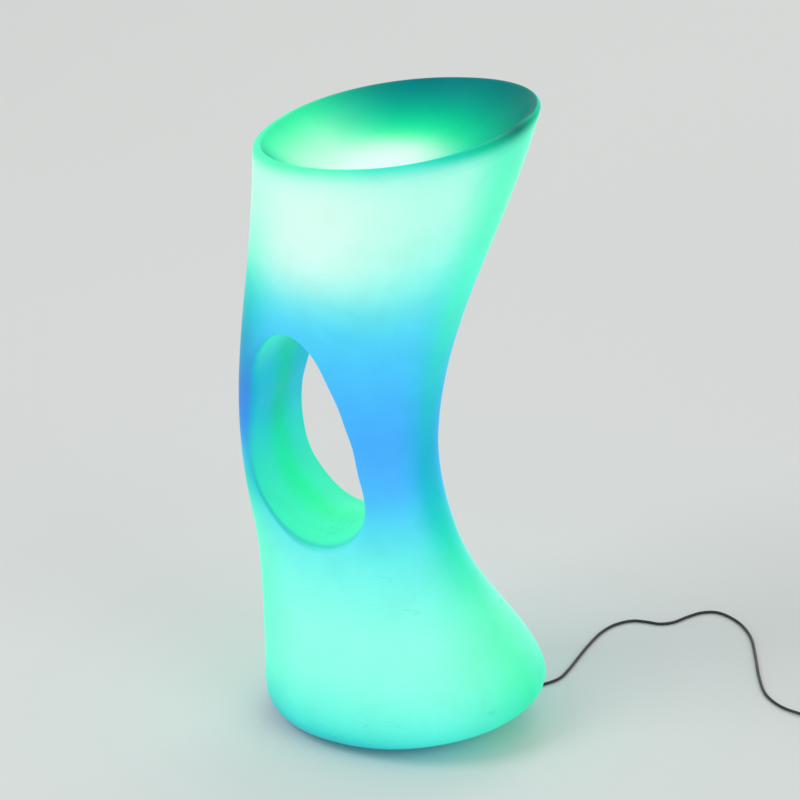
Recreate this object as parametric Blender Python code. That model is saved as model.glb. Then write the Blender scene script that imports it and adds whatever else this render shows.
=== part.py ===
"""Light-up bar stool: a hollow moulded body with a hand opening, the lamp module under it and its charging lead.

Lengths are metres. +Z is up, +Y is the high back and X runs from side to side. The origin is on the floor,
under the middle of the stool.
"""

import math

import bmesh
import bpy
import numpy as np
from mathutils import Matrix

# Clearances
SEAT_GAP = 0.0003
OVERRUN = 0.002

# Moulded body: heights are above the floor, reaches are from the plane x-z or y-z through the origin
WALL = 0.0035
FOOT_HEIGHT = 0.005
FOOT_ROUND = 0.0355
TOE_REACH = 0.1426
BELLY_REACH = 0.181
BELLY_HEIGHT = 0.349
LIP_REACH = 0.141
HEEL_START_REACH = 0.1396
HEEL_REACH = 0.186
HEEL_HEIGHT = 0.050
BACK_WAIST_REACH = 0.049
BACK_WAIST_HEIGHT = 0.341
CROWN_REACH = 0.164
FLOOR_HALF_WIDTH = 0.1505
BASE_HALF_WIDTH = 0.1525
BASE_HEIGHT = 0.041
WAIST_HALF_WIDTH = 0.074
WAIST_HEIGHT = 0.225
SEAT_HALF_WIDTH = 0.180
TOP_HEIGHT = 0.755
RIM_HEIGHT = 0.7305
RIM_SLOPE = 0.1345
RIM_ROUND = 0.0062
DISH_HEIGHT = 0.672
SECTION_POWER = 2.15
FLAT_SIDE_POWER = 0.73
FLAT_SIDE_HEIGHT = 0.340
FLAT_SIDE_SPREAD = 0.130
DISH_POWER = 3.2
RING_SLOTS = 40
FOOT_STEPS = 5
HEEL_SHARES = (0.014, 0.035)
WALL_RINGS = 16
RIM_STEPS = 4
RIM_TURN = math.radians(135)
DISH_SHARES = (0.95, 0.86, 0.72, 0.50, 0.25)
CURVE_STEPS = 40

# Slope of each profile at its floor and at its top, and the handles of its curves as shares of each span
TOE_LEAN = -0.0285
LIP_LEAN = -0.04
HEEL_LEAN = 1.25
CROWN_LEAN = 0.20
FLOOR_LEAN = 0.1
SEAT_LEAN = 0.24
FRONT_HANDLE_SHARES = ((0.40, 0.453), (0.407, 0.359))
BACK_HANDLE_SHARES = ((0.40, 0.40), (0.142, 0.456), (0.322, 0.35))
SIDE_HANDLE_SHARES = ((0.40, 0.40), (0.369, 0.327), (0.407, 0.35))

# Hand opening: its reach in twelve directions, from +Y towards +Z, at each face and in the middle
OPENING_Y = -0.072
OPENING_HEIGHT = 0.360
OPENING_REACH = 0.132
OPENING_ROUND = 0.009
SILL_ROUND = 0.030
SILL_DIRECTION = math.radians(-78)
SILL_SPREAD = math.radians(32)
FRONT_ROUND = 0.022
FRONT_DIRECTION = math.radians(160)
FRONT_SPREAD = math.radians(37)
FACE_REACH_SHARES = (0.471, 0.475, 0.637, 1.01, 0.81, 0.586, 0.564, 0.654, 0.845, 1.015, 0.955, 0.59)
THROAT_REACH_SHARES = (0.46, 0.465, 0.625, 0.99, 0.80, 0.575, 0.55, 0.635, 0.815, 0.965, 0.935, 0.575)
OPENING_SLOTS = 8
OPENING_FIRST_RING = 5
OPENING_LAST_RING = 15
APRON_SHARES = (0.5, 1.0)
ROUND_STEPS = 3
THROAT_SHARES = (0.5, 1.0)

# Recess under the body, and the aperture in its roof that takes the lamp module
RECESS_RADIUS = 0.084
RECESS_DRAFT = 0.0025
RECESS_DEPTH = 0.019
APERTURE_RADIUS = 0.060

# Foot pads
PAD_RADIUS = 0.010
PAD_CIRCLE = 0.100
PAD_EDGE = 0.001
PAD_ANGLES = tuple(math.radians(a) for a in (45, 135, 225, 315))

# Lamp module: gasket, flanged housing, screws and inserts
GASKET_THICK = 0.0015
GASKET_INNER = 0.0615
GASKET_OUTER = 0.080
FLANGE_THICK = 0.003
FLANGE_RADIUS = 0.0815
CUP_OUTER = 0.0575
CUP_WALL = 0.0025
CUP_DEPTH = 0.0341
SCREW_CIRCLE = 0.0705
SCREW_ANGLES = tuple(math.radians(a) for a in (45, 135, 225, 315))
SCREW_RADIUS = 0.0015
SCREW_LENGTH = 0.014
SCREW_HEAD_RADIUS = 0.0034
SCREW_HEAD_HEIGHT = 0.0024
SCREW_SOCKET_RADIUS = 0.0013
SCREW_SOCKET_DEPTH = 0.0014
INSERT_BARREL_RADIUS = 0.0032
INSERT_HEAD_RADIUS = 0.0055
INSERT_HEAD_THICK = 0.0012
INSERT_NOSE = 0.004

# Cells, board and what sits on it
CELL_RADIUS = 0.0092
CELL_LENGTH = 0.065
CELL_PITCH = 0.021
CELL_CAP_RADIUS = 0.0032
CELL_CAP_HEIGHT = 0.0012
CRADLE_FLOOR = 0.003
CRADLE_HEIGHT = 0.012
CRADLE_EDGE = 0.002
BOARD_Y = 0.034
BOARD_LENGTH = 0.048
BOARD_WIDTH = 0.018
BOARD_THICK = 0.0016
POST_RADIUS = 0.0024
POST_X = 0.0205
SOCKET_X = 0.010
SOCKET_LENGTH = 0.0104
SOCKET_WIDTH = 0.0096
SOCKET_HEIGHT = 0.011
SOCKET_NOSE_RADIUS = 0.0044
SOCKET_BORE_RADIUS = 0.00305
SOCKET_BACK = 0.002
SOCKET_PIN_RADIUS = 0.0008
SWITCH_SIZE = 0.006
SWITCH_HEIGHT = 0.004
PLUNGER_RADIUS = 0.0017
PLUNGER_HEIGHT = 0.0015
BUTTON_X = -0.012
BUTTON_RADIUS = 0.0042
BUTTON_PROUD = 0.0036
BUTTON_COLLAR_RADIUS = 0.0060
BUTTON_COLLAR_THICK = 0.0012
BUTTON_STEM_RADIUS = 0.0015
BUTTON_TRAVEL = 0.0015
SEAL_RADIUS = 0.0072
SEAL_THICK = 0.0012
INDICATOR_X = -0.001
INDICATOR_RADIUS = 0.0015
INDICATOR_HEAD_RADIUS = 0.0024
INDICATOR_HEAD_THICK = 0.001

# Lights: a ring of six on the round board, and six on the head of the mast
LED_COUNT = 6
LED_SIZE = 0.005
LED_THICK = 0.0016
LED_EDGE = 0.0005
LED_BOARD_RADIUS = 0.0572
LED_BOARD_THICK = 0.0016
LED_CIRCLE = 0.0465
DIFFUSER_INNER = 0.0385
DIFFUSER_OUTER = 0.0545
DIFFUSER_HEIGHT = 0.012
DIFFUSER_WALL = 0.0015
MAST_Y = 0.029
MAST_RADIUS = 0.006
MAST_WALL = 0.0015
MAST_TOP = 0.545
COLLAR_RADIUS = 0.0080
COLLAR_FLANGE_RADIUS = 0.0088
COLLAR_FLANGE_THICK = 0.002
COLLAR_HEIGHT = 0.018
HEAD_APOTHEM = 0.015
HEAD_HEIGHT = 0.050
HEAD_SOCKET_DEPTH = 0.012
HEAD_COVER_RADIUS = 0.0225
HEAD_COVER_WALL = 0.0015
HEAD_COVER_SKIRT = 0.002
HEAD_COVER_DOME = 0.010

# Charging plug, in the socket
BARREL_RADIUS = 0.00275
BARREL_BORE_RADIUS = 0.0012
BARREL_LENGTH = 0.0095
PLUG_RADIUS = 0.0055
PLUG_HEIGHT = 0.012
PLUG_EDGE = 0.001
PLUG_ARM_RADIUS = 0.0040
PLUG_ARM_REACH = 0.009
PLUG_ARM_RISE = 0.0048
RELIEF_LENGTH = 0.018
RELIEF_ROOT_RADIUS = 0.0036
RELIEF_TIP_RADIUS = 0.0024
LEAD_RADIUS = 0.00175

# Lead from the plug's strain relief to the coil
LEAD_ROUTE = (
    (-0.0075, 0.0559, 0.0114),
    (-0.0112, 0.0605, 0.0112),
    (-0.0205, 0.0690, 0.0078),
    (-0.0320, 0.0755, 0.0034),
    (-0.0470, 0.0840, 0.0020),
    (-0.0700, 0.0980, 0.0019),
    (-0.0950, 0.1190, 0.0019),
    (-0.1190, 0.1400, 0.0019),
    (-0.1430, 0.1520, 0.0019),
    (-0.1690, 0.1525, 0.0019),
    (-0.2030, 0.1490, 0.0019),
    (-0.2400, 0.1455, 0.0019),
    (-0.2750, 0.1445, 0.0019),
    (-0.3030, 0.1500, 0.0019),
    (-0.3230, 0.1640, 0.0019),
    (-0.3290, 0.1810, 0.0019),
    (-0.3320, 0.1980, 0.0019),
    (-0.3440, 0.2110, 0.0019),
    (-0.3650, 0.2200, 0.0019),
    (-0.3840, 0.2310, 0.0019),
    (-0.3930, 0.2470, 0.0019),
    (-0.3885, 0.2670, 0.0019),
    (-0.3740, 0.2900, 0.0019),
    (-0.3480, 0.3130, 0.0019),
    (-0.3080, 0.3360, 0.0019),
    (-0.2600, 0.3620, 0.0019),
    (-0.2240, 0.3860, 0.0019),
    (-0.2040, 0.4130, 0.0020),
    (-0.1965, 0.4400, 0.0026),
    (-0.1960, 0.4650, 0.00285),
    (-0.1960, 0.4700, 0.00285),
)
LEAD_POINTS = 76

# Coil of the length that is put away, its tie and the mains adapter
COIL_TURNS = 6
COIL_TURN_POINTS = 24
COIL_MEAN_RADIUS = 0.019
COIL_PITCH = 0.00395
COIL_START_RUN = 0.004
COIL_END_RUN = 0.014
TIE_THICK = 0.0008
TIE_WIDTH = 0.005
TIE_CLEARANCE = 0.0006
TIE_ANGLE = math.radians(200)
ADAPTER_RELIEF_LENGTH = 0.013
ADAPTER_RELIEF_ROOT_RADIUS = 0.0044
ADAPTER_RELIEF_TIP_RADIUS = 0.0026
ADAPTER_LENGTH = 0.050
ADAPTER_WIDTH = 0.038
ADAPTER_HEIGHT = 0.024
ADAPTER_EDGE = 0.003
PIN_WIDTH = 0.0063
PIN_THICK = 0.0015
PIN_LENGTH = 0.016
PIN_SPREAD = 0.0127

# Places that follow from the sizes above
ROOF_Z = FOOT_HEIGHT + RECESS_DEPTH
GASKET_TOP = ROOF_Z - SEAT_GAP
GASKET_BOTTOM = GASKET_TOP - GASKET_THICK
FLANGE_TOP = GASKET_BOTTOM - SEAT_GAP
FLANGE_BOTTOM = FLANGE_TOP - FLANGE_THICK
CUP_TOP = FLANGE_TOP + CUP_DEPTH
INSIDE_FLOOR = FLANGE_TOP + SEAT_GAP
BOARD_BOTTOM = INSIDE_FLOOR + SOCKET_HEIGHT + SEAT_GAP
LED_BOARD_BOTTOM = CUP_TOP + SEAT_GAP
LED_BOARD_TOP = LED_BOARD_BOTTOM + LED_BOARD_THICK
ON_LED_BOARD = LED_BOARD_TOP + SEAT_GAP
SWITCH_BOTTOM = BOARD_BOTTOM - SEAT_GAP - SWITCH_HEIGHT
PLUNGER_BOTTOM = SWITCH_BOTTOM - PLUNGER_HEIGHT
HEAD_BOTTOM = MAST_TOP + SEAT_GAP - HEAD_SOCKET_DEPTH
HEAD_TOP = HEAD_BOTTOM + HEAD_HEIGHT
PLUG_TOP = FLANGE_BOTTOM - SEAT_GAP
PLUG_BOTTOM = PLUG_TOP - PLUG_HEIGHT
PLUG_ARM_Z = PLUG_BOTTOM + PLUG_ARM_RISE
COIL_LOW_Z = TIE_THICK + SEAT_GAP + LEAD_RADIUS
COIL_OUTER = COIL_MEAN_RADIUS + COIL_PITCH * COIL_TURNS / 4
COIL_INNER = COIL_MEAN_RADIUS - COIL_PITCH * COIL_TURNS / 4
COIL_HIGH_Z = COIL_LOW_Z + COIL_PITCH


# Scene and materials


def clear_scene():
    """Remove every object that the file opens with."""
    for thing in list(bpy.data.objects):
        bpy.data.objects.remove(thing, do_unlink=True)


def finish(name, colour, roughness, metallic=0.0):
    """A Principled material of one colour."""
    material = bpy.data.materials.new(name)
    material.use_nodes = True
    shader = material.node_tree.nodes["Principled BSDF"]
    shader.inputs["Base Color"].default_value = (*colour, 1.0)
    shader.inputs["Roughness"].default_value = roughness
    shader.inputs["Metallic"].default_value = metallic
    material.diffuse_color = (*colour, 1.0)
    return material


# Building blocks


def place(name, bm, material, at=(0, 0, 0), turn=None, smooth=True):
    """Close a mesh into a named object that carries its material."""
    bmesh.ops.recalc_face_normals(bm, faces=bm.faces)
    mesh = bpy.data.meshes.new(name)
    bm.to_mesh(mesh)
    bm.free()
    if smooth:
        mesh.shade_smooth()
        mesh.set_sharp_from_angle(angle=math.radians(35))
    if material:
        mesh.materials.append(material)
    thing = bpy.data.objects.new(name, mesh)
    bpy.context.scene.collection.objects.link(thing)
    thing.location = at
    if turn:
        thing.rotation_euler = turn
    return thing


def turned(name, outline, material, at=(0, 0, 0), sides=24, turn=None):
    """A solid of revolution about Z. The outline is (radius, height) around the section."""
    bm = bmesh.new()
    verts = [bm.verts.new((radius, 0, height)) for radius, height in outline]
    pairs = list(zip(verts, verts[1:]))
    if outline[0][0] > 0 or outline[-1][0] > 0:
        pairs.append((verts[-1], verts[0]))
    edges = [bm.edges.new(pair) for pair in pairs]
    bmesh.ops.spin(
        bm, geom=verts + edges, cent=(0, 0, 0), axis=(0, 0, 1), angle=math.tau, steps=sides, use_merge=True
    )
    bmesh.ops.remove_doubles(bm, verts=bm.verts, dist=SEAT_GAP / 100)
    return place(name, bm, material, at, turn)


def block(name, size, material, at, edge=0.0, turn=None):
    """A box about its middle, with its edges chamfered by edge."""
    bm = bmesh.new()
    bmesh.ops.create_cube(bm, size=1.0)
    bmesh.ops.scale(bm, vec=size, verts=bm.verts)
    if edge:
        bmesh.ops.bevel(bm, geom=bm.edges, offset=edge, segments=1, affect="EDGES", profile=0.5)
    return place(name, bm, material, at, turn, smooth=False)


def as_cutter(thing):
    """Mark an object as a tool that shapes others and isn't part of the stool."""
    thing.hide_render = True
    thing.display_type = "WIRE"
    return thing


def shape_with(target, tool, operation):
    """Cut a tool out of the target or join it on, with the exact solver."""
    boolean = target.modifiers.new(tool.name, "BOOLEAN")
    boolean.operation = operation
    boolean.solver = "EXACT"
    boolean.object = as_cutter(tool)


def rod_cutter(name, radius, low, high, x, y, sides=16):
    """An upright round tool between two heights."""
    return turned(name, ((0, low), (radius, low), (radius, high), (0, high)), None, (x, y, 0), sides)


def tube_along(name, points, radius, resolution, material):
    """A round cord through the points, with closed ends."""
    curve = bpy.data.curves.new(name, "CURVE")
    curve.dimensions = "3D"
    curve.bevel_depth = radius
    curve.bevel_resolution = resolution
    curve.use_fill_caps = True
    spline = curve.splines.new("POLY")
    spline.points.add(len(points) - 1)
    for knot, point in zip(spline.points, points):
        knot.co = (*point, 1.0)
    curve.materials.append(material)
    thing = bpy.data.objects.new(name, curve)
    bpy.context.scene.collection.objects.link(thing)
    return thing


# Body surface


def bezier_run(start, end, shares):
    """Points of one cubic span between two knots of (height, reach, lean)."""
    span = end[0] - start[0]
    low, high = shares[0] * span, shares[1] * span
    poles = np.array(
        (
            (start[0], start[1]),
            (start[0] + low, start[1] + start[2] * low),
            (end[0] - high, end[1] - end[2] * high),
            (end[0], end[1]),
        )
    )
    t = np.linspace(0, 1, CURVE_STEPS)[:, None]
    return (1 - t) ** 3 * poles[0] + 3 * (1 - t) ** 2 * t * poles[1] + 3 * (1 - t) * t**2 * poles[2] + t**3 * poles[3]


def profile(knots, shares):
    """A smooth profile: the reach at any height."""
    points = np.vstack([bezier_run(a, b, s) for a, b, s in zip(knots, knots[1:], shares)])
    return lambda height: float(np.interp(height, points[:, 0], points[:, 1]))


front_reach = profile(
    (
        (FOOT_HEIGHT, TOE_REACH, TOE_LEAN),
        (BELLY_HEIGHT, BELLY_REACH, 0),
        (TOP_HEIGHT, LIP_REACH, LIP_LEAN),
    ),
    FRONT_HANDLE_SHARES,
)
back_reach = profile(
    (
        (FOOT_HEIGHT, HEEL_START_REACH, HEEL_LEAN),
        (HEEL_HEIGHT, HEEL_REACH, 0),
        (BACK_WAIST_HEIGHT, BACK_WAIST_REACH, 0),
        (TOP_HEIGHT, CROWN_REACH, CROWN_LEAN),
    ),
    BACK_HANDLE_SHARES,
)
side_reach = profile(
    (
        (FOOT_HEIGHT, FLOOR_HALF_WIDTH, FLOOR_LEAN),
        (BASE_HEIGHT, BASE_HALF_WIDTH, 0),
        (WAIST_HEIGHT, WAIST_HALF_WIDTH, 0),
        (TOP_HEIGHT, SEAT_HALF_WIDTH, SEAT_LEAN),
    ),
    SIDE_HANDLE_SHARES,
)


def section(height, inset=0.0):
    """Middle in y, half depth and half width of the body's section."""
    front, back, side = front_reach(height), back_reach(height), side_reach(height)
    return (back - front) / 2, (back + front) / 2 - inset, side - inset


def foot_inset(height):
    """How far the rounded foot edge draws the section in."""
    left = max(FOOT_ROUND - (height - FOOT_HEIGHT), 0)
    return FOOT_ROUND - math.sqrt(max(FOOT_ROUND**2 - left**2, 0))


def section_power(height):
    """Power of the section's rounded outline, whose sides are flatter where the hand opening is."""
    return SECTION_POWER + FLAT_SIDE_POWER * math.exp(-(((height - FLAT_SIDE_HEIGHT) / FLAT_SIDE_SPREAD) ** 2))


def around(height, angle, inset):
    """Plan position on the body's section at one angle from +X."""
    middle, half_depth, half_width = section(height, inset)
    c, s = math.cos(angle), math.sin(angle)
    power = 2 / section_power(height)
    x = half_width * math.copysign(abs(c) ** power, c)
    return x, middle + half_depth * math.copysign(abs(s) ** power, s)


def rim_plane(y):
    """Height of the rim's crest."""
    return RIM_HEIGHT + RIM_SLOPE * y


def rim_base(angle):
    """Height at which the wall turns over into the rim."""
    height = RIM_HEIGHT
    for _ in range(6):
        height = rim_plane(around(height, angle, 0)[1]) - RIM_ROUND
    return height


def side_x(y, height):
    """Half width of the body at a place on its side."""
    middle, half_depth, half_width = section(height, foot_inset(height))
    share = min(abs((y - middle) / half_depth), 0.999)
    power = section_power(height)
    return half_width * (1 - share**power) ** (1 / power)


def slot_angle(slot):
    return math.tau * slot / RING_SLOTS


def circle_ring(radius, height):
    return [(radius * math.cos(slot_angle(i)), radius * math.sin(slot_angle(i)), height) for i in range(RING_SLOTS)]


def foot_ring(turn):
    """A ring on the rounded foot edge. turn is 0 where it leaves the flat foot."""
    height = FOOT_HEIGHT + FOOT_ROUND * (1 - math.cos(turn))
    inset = FOOT_ROUND * (1 - math.sin(turn))
    return [(*around(height, slot_angle(i), inset), height) for i in range(RING_SLOTS)]


def wall_ring(share):
    """A ring on the wall, level at the foot and tilted as the rim at the top."""
    low = FOOT_HEIGHT + FOOT_ROUND
    heights = [low + share * (rim_base(slot_angle(i)) - low) for i in range(RING_SLOTS)]
    return [(*around(height, slot_angle(i), 0), height) for i, height in enumerate(heights)]


def rim_ring(turn):
    """A ring on the rolled rim. turn is 0 where it leaves the wall."""
    inset, rise = RIM_ROUND * (1 - math.cos(turn)), RIM_ROUND * (math.sin(turn) - 1)
    ring = []
    for i in range(RING_SLOTS):
        x, y = around(rim_base(slot_angle(i)), slot_angle(i), inset)
        ring.append((x, y, rim_plane(y) + rise))
    return ring


def dish_ring(share):
    """A ring of the seat dish, drawn in to its middle by share."""
    middle = section(RIM_HEIGHT)[0]
    ring = []
    for x, y, z in rim_ring(RIM_TURN):
        height = DISH_HEIGHT + (z - DISH_HEIGHT) * share**DISH_POWER
        ring.append((x * share, middle + (y - middle) * share, height))
    return ring


def skin_rings():
    """Every ring of the body's outer surface, from the aperture over the foot and the rim into the dish."""
    rings = [
        circle_ring(APERTURE_RADIUS, ROOF_Z),
        circle_ring(RECESS_RADIUS, ROOF_Z),
        circle_ring(RECESS_RADIUS + RECESS_DRAFT, FOOT_HEIGHT),
    ]
    rings += [foot_ring(math.pi / 2 * i / FOOT_STEPS) for i in range(FOOT_STEPS + 1)]
    first_wall = len(rings) - 1
    rings += [wall_ring(share) for share in HEEL_SHARES]
    rings += [wall_ring((i + 1) / WALL_RINGS) for i in range(WALL_RINGS)]
    rings += [rim_ring(RIM_TURN * (i + 1) / RIM_STEPS) for i in range(RIM_STEPS)]
    rings += [dish_ring(share) for share in DISH_SHARES]
    return rings, first_wall


# Hand opening


def reach_at(shares, angle):
    """Reach of the opening's outline in one direction, on a smooth closed curve through the shares."""
    place_on = angle / math.tau * len(shares)
    i, t = math.floor(place_on), place_on - math.floor(place_on)
    p0, p1, p2, p3 = (shares[(i + k) % len(shares)] for k in (-1, 0, 1, 2))
    return OPENING_REACH * (
        p1 + t / 2 * (p2 - p0 + t * (2 * p0 - 5 * p1 + 4 * p2 - p3 + t * (3 * (p1 - p2) + p3 - p0)))
    )


def edge_round(angle):
    """Size of the opening's rounded edge, which rolls over more at the sill and towards the front."""
    size = OPENING_ROUND
    for most, direction, spread in (
        (SILL_ROUND, SILL_DIRECTION, SILL_SPREAD),
        (FRONT_ROUND, FRONT_DIRECTION, FRONT_SPREAD),
    ):
        off = (angle - direction + math.pi) % math.tau - math.pi
        size += (most - OPENING_ROUND) * math.exp(-((off / spread) ** 2))
    return size


def from_opening(angle, reach):
    """Place in the plane y-z at a reach from the opening's middle."""
    return OPENING_Y + reach * math.cos(angle), OPENING_HEIGHT + reach * math.sin(angle)


def apron_place(home, angle, share):
    """A place on the body's side between the ring grid and the start of the rounded edge."""
    start = from_opening(angle, reach_at(FACE_REACH_SHARES, angle) + edge_round(angle))
    y, z = (a + (b - a) * share for a, b in zip(home, start))
    return side_x(y, z), y, z


def edge_place(angle, share):
    """A place on the rounded edge, from the body's side at 0 to the opening's inner wall at 1."""
    size, reach = edge_round(angle), reach_at(FACE_REACH_SHARES, angle)
    outer, corner = from_opening(angle, reach + size), from_opening(angle, reach)
    x = side_x(*corner)
    poles = ((side_x(*outer), *outer), (x, *corner), (x - size, *corner))
    weights = ((1 - share) ** 2, 2 * share * (1 - share), share**2)
    return tuple(sum(w * pole[k] for w, pole in zip(weights, poles)) for k in range(3))


def throat_place(angle, share):
    """A place on the opening's inner wall, from its edge to the middle of the body."""
    mouth, throat = reach_at(FACE_REACH_SHARES, angle), reach_at(THROAT_REACH_SHARES, angle)
    y, z = from_opening(angle, mouth + (throat - mouth) * share * (2 - share))
    return edge_place(angle, 1)[0] * (1 - share), y, z


def extruded(bm, edges):
    """Extrude a loop of edges. Returns its new vertices and edges."""
    made = bmesh.ops.extrude_edge_only(bm, edges=edges)["geom"]
    verts = {item for item in made if isinstance(item, bmesh.types.BMVert)}
    return verts, [item for item in made if isinstance(item, bmesh.types.BMEdge) and verts.issuperset(item.verts)]


def open_side(bm, layers, first_wall, side):
    """Take the middle of one side out of the ring grid and run the rounded opening in to x = 0."""
    slot, ring, spoke = layers
    middle = 0 if side > 0 else RING_SLOTS // 2
    inside = {(middle + i) % RING_SLOTS for i in range(-OPENING_SLOTS, OPENING_SLOTS + 1)}
    levels = range(first_wall + OPENING_FIRST_RING, first_wall + OPENING_LAST_RING + 1)
    doomed = [f for f in bm.faces if all(v[slot] in inside and v[ring] in levels for v in f.verts)]
    bmesh.ops.delete(bm, geom=doomed, context="FACES")
    edges = [
        e
        for e in bm.edges
        if e.is_boundary and all(v[slot] in inside and v[ring] in levels and v[spoke] == 0 for v in e.verts)
    ]
    homes = sorted({v for e in edges for v in e.verts}, key=lambda v: (v[slot], v[ring]))
    for number, vert in enumerate(homes):
        vert[spoke] = number + 1
    home = [(v.co.y, v.co.z) for v in homes]
    angle = [math.atan2(z - OPENING_HEIGHT, y - OPENING_Y) for y, z in home]
    steps = [lambda i, s=share: apron_place(home[i], angle[i], s) for share in APRON_SHARES]
    steps += [lambda i, s=step / ROUND_STEPS: edge_place(angle[i], s) for step in range(1, ROUND_STEPS + 1)]
    steps += [lambda i, s=share: throat_place(angle[i], s) for share in THROAT_SHARES]
    for step in steps:
        verts, edges = extruded(bm, edges)
        for vert in verts:
            x, y, z = step(vert[spoke] - 1)
            vert.co = (side * x, y, z)


def body_shell(material):
    """The hollow moulded body, one wall thick, open only at the aperture under it."""
    bm = bmesh.new()
    slot, ring, spoke = [bm.verts.layers.int.new(layer) for layer in ("slot", "ring", "spoke")]
    slot, ring, spoke = [bm.verts.layers.int[layer] for layer in ("slot", "ring", "spoke")]
    rings, first_wall = skin_rings()
    verts = [bm.verts.new(point) for point in rings[0]]
    for number, vert in enumerate(verts):
        vert[slot] = number
    edges = [bm.edges.new(pair) for pair in zip(verts, verts[1:] + verts[:1])]
    for level, places in enumerate(rings[1:], start=1):
        verts, edges = extruded(bm, edges)
        for vert in verts:
            vert.co = places[vert[slot]]
            vert[ring] = level
    cap = bmesh.ops.contextual_create(bm, geom=edges)["faces"]
    bmesh.ops.poke(bm, faces=cap)
    for side in (1, -1):
        open_side(bm, (slot, ring, spoke), first_wall, side)
    seam = [v for v in bm.verts if v.is_boundary and abs(v.co.x) < SEAT_GAP]
    bmesh.ops.remove_doubles(bm, verts=seam, dist=SEAT_GAP / 10)
    shell = place("body_shell", bm, material)
    wall = shell.modifiers.new("wall", "SOLIDIFY")
    wall.thickness = WALL
    wall.offset = -1
    wall.use_even_offset = True
    for i, (x, y) in enumerate(on_circle(SCREW_CIRCLE, SCREW_ANGLES)):
        hole = INSERT_BARREL_RADIUS + SEAT_GAP
        shape_with(
            shell, rod_cutter(f"insert_hole_{i}", hole, ROOF_Z - OVERRUN, ROOF_Z + WALL + OVERRUN, x, y), "DIFFERENCE"
        )
    return shell


def on_circle(radius, angles):
    return [(radius * math.cos(a), radius * math.sin(a)) for a in angles]


# Parts under the body


def foot_pads(material):
    top = FOOT_HEIGHT - SEAT_GAP
    outline = ((0, 0), (PAD_RADIUS - PAD_EDGE, 0), (PAD_RADIUS, PAD_EDGE), (PAD_RADIUS, top), (0, top))
    for i, (x, y) in enumerate(on_circle(PAD_CIRCLE, PAD_ANGLES), start=1):
        turned(f"foot_pad_{i}", outline, material, (x, y, 0), 16)


def threaded_inserts(material):
    """Brass inserts through the roof of the recess, their heads on the inside of the wall."""
    low, seat = ROOF_Z + SEAT_GAP, ROOF_Z + WALL + SEAT_GAP
    bore = SCREW_RADIUS + SEAT_GAP
    outline = (
        (bore, low),
        (INSERT_BARREL_RADIUS, low),
        (INSERT_BARREL_RADIUS, seat),
        (INSERT_HEAD_RADIUS, seat),
        (INSERT_HEAD_RADIUS, seat + INSERT_HEAD_THICK),
        (INSERT_BARREL_RADIUS, seat + INSERT_HEAD_THICK),
        (INSERT_BARREL_RADIUS, seat + INSERT_HEAD_THICK + INSERT_NOSE),
        (bore, seat + INSERT_HEAD_THICK + INSERT_NOSE),
    )
    for i, (x, y) in enumerate(on_circle(SCREW_CIRCLE, SCREW_ANGLES), start=1):
        turned(f"threaded_insert_{i}", outline, material, (x, y, 0), 12)


def module_screws(material):
    """Socket head screws, up through the flange and the gasket into the inserts."""
    head_top = FLANGE_BOTTOM - SEAT_GAP
    head_bottom = head_top - SCREW_HEAD_HEIGHT
    outline = (
        (0, head_bottom + SCREW_SOCKET_DEPTH),
        (SCREW_SOCKET_RADIUS, head_bottom + SCREW_SOCKET_DEPTH),
        (SCREW_SOCKET_RADIUS, head_bottom),
        (SCREW_HEAD_RADIUS, head_bottom),
        (SCREW_HEAD_RADIUS, head_top),
        (SCREW_RADIUS, head_top),
        (SCREW_RADIUS, head_top + SCREW_LENGTH),
        (0, head_top + SCREW_LENGTH),
    )
    for i, (x, y) in enumerate(on_circle(SCREW_CIRCLE, SCREW_ANGLES), start=1):
        turned(f"module_screw_{i}", outline, material, (x, y, 0), 12)


def module_gasket(material):
    outline = (
        (GASKET_INNER, GASKET_BOTTOM),
        (GASKET_OUTER, GASKET_BOTTOM),
        (GASKET_OUTER, GASKET_TOP),
        (GASKET_INNER, GASKET_TOP),
    )
    gasket = turned("module_gasket", outline, material, sides=32)
    for i, (x, y) in enumerate(on_circle(SCREW_CIRCLE, SCREW_ANGLES)):
        hole = SCREW_RADIUS + SEAT_GAP
        tool = rod_cutter(f"gasket_hole_{i}", hole, GASKET_BOTTOM - OVERRUN, GASKET_TOP + OVERRUN, x, y, 12)
        shape_with(gasket, tool, "DIFFERENCE")


def module_housing(material):
    """Flanged cup that closes the aperture and carries the cells, the board and the lights."""
    outline = (
        (0, FLANGE_BOTTOM),
        (FLANGE_RADIUS, FLANGE_BOTTOM),
        (FLANGE_RADIUS, FLANGE_TOP),
        (CUP_OUTER, FLANGE_TOP),
        (CUP_OUTER, CUP_TOP),
        (CUP_OUTER - CUP_WALL, CUP_TOP),
        (CUP_OUTER - CUP_WALL, FLANGE_TOP),
        (0, FLANGE_TOP),
    )
    housing = turned("module_housing", outline, material, sides=32)
    for side in (-1, 1):
        low, high = FLANGE_BOTTOM + FLANGE_THICK / 2, BOARD_BOTTOM - SEAT_GAP
        tool = rod_cutter(f"board_post_{side}", POST_RADIUS, low, high, side * POST_X, BOARD_Y, 8)
        shape_with(housing, tool, "UNION")
    low, high = FLANGE_BOTTOM - OVERRUN, FLANGE_TOP + OVERRUN
    holes = [(SCREW_RADIUS, x, y) for x, y in on_circle(SCREW_CIRCLE, SCREW_ANGLES)]
    holes += [
        (SOCKET_NOSE_RADIUS, SOCKET_X, BOARD_Y),
        (BUTTON_RADIUS, BUTTON_X, BOARD_Y),
        (INDICATOR_RADIUS, INDICATOR_X, BOARD_Y),
    ]
    for i, (radius, x, y) in enumerate(holes):
        shape_with(housing, rod_cutter(f"flange_hole_{i}", radius + SEAT_GAP, low, high, x, y), "DIFFERENCE")


# Cells, board and controls


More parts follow.
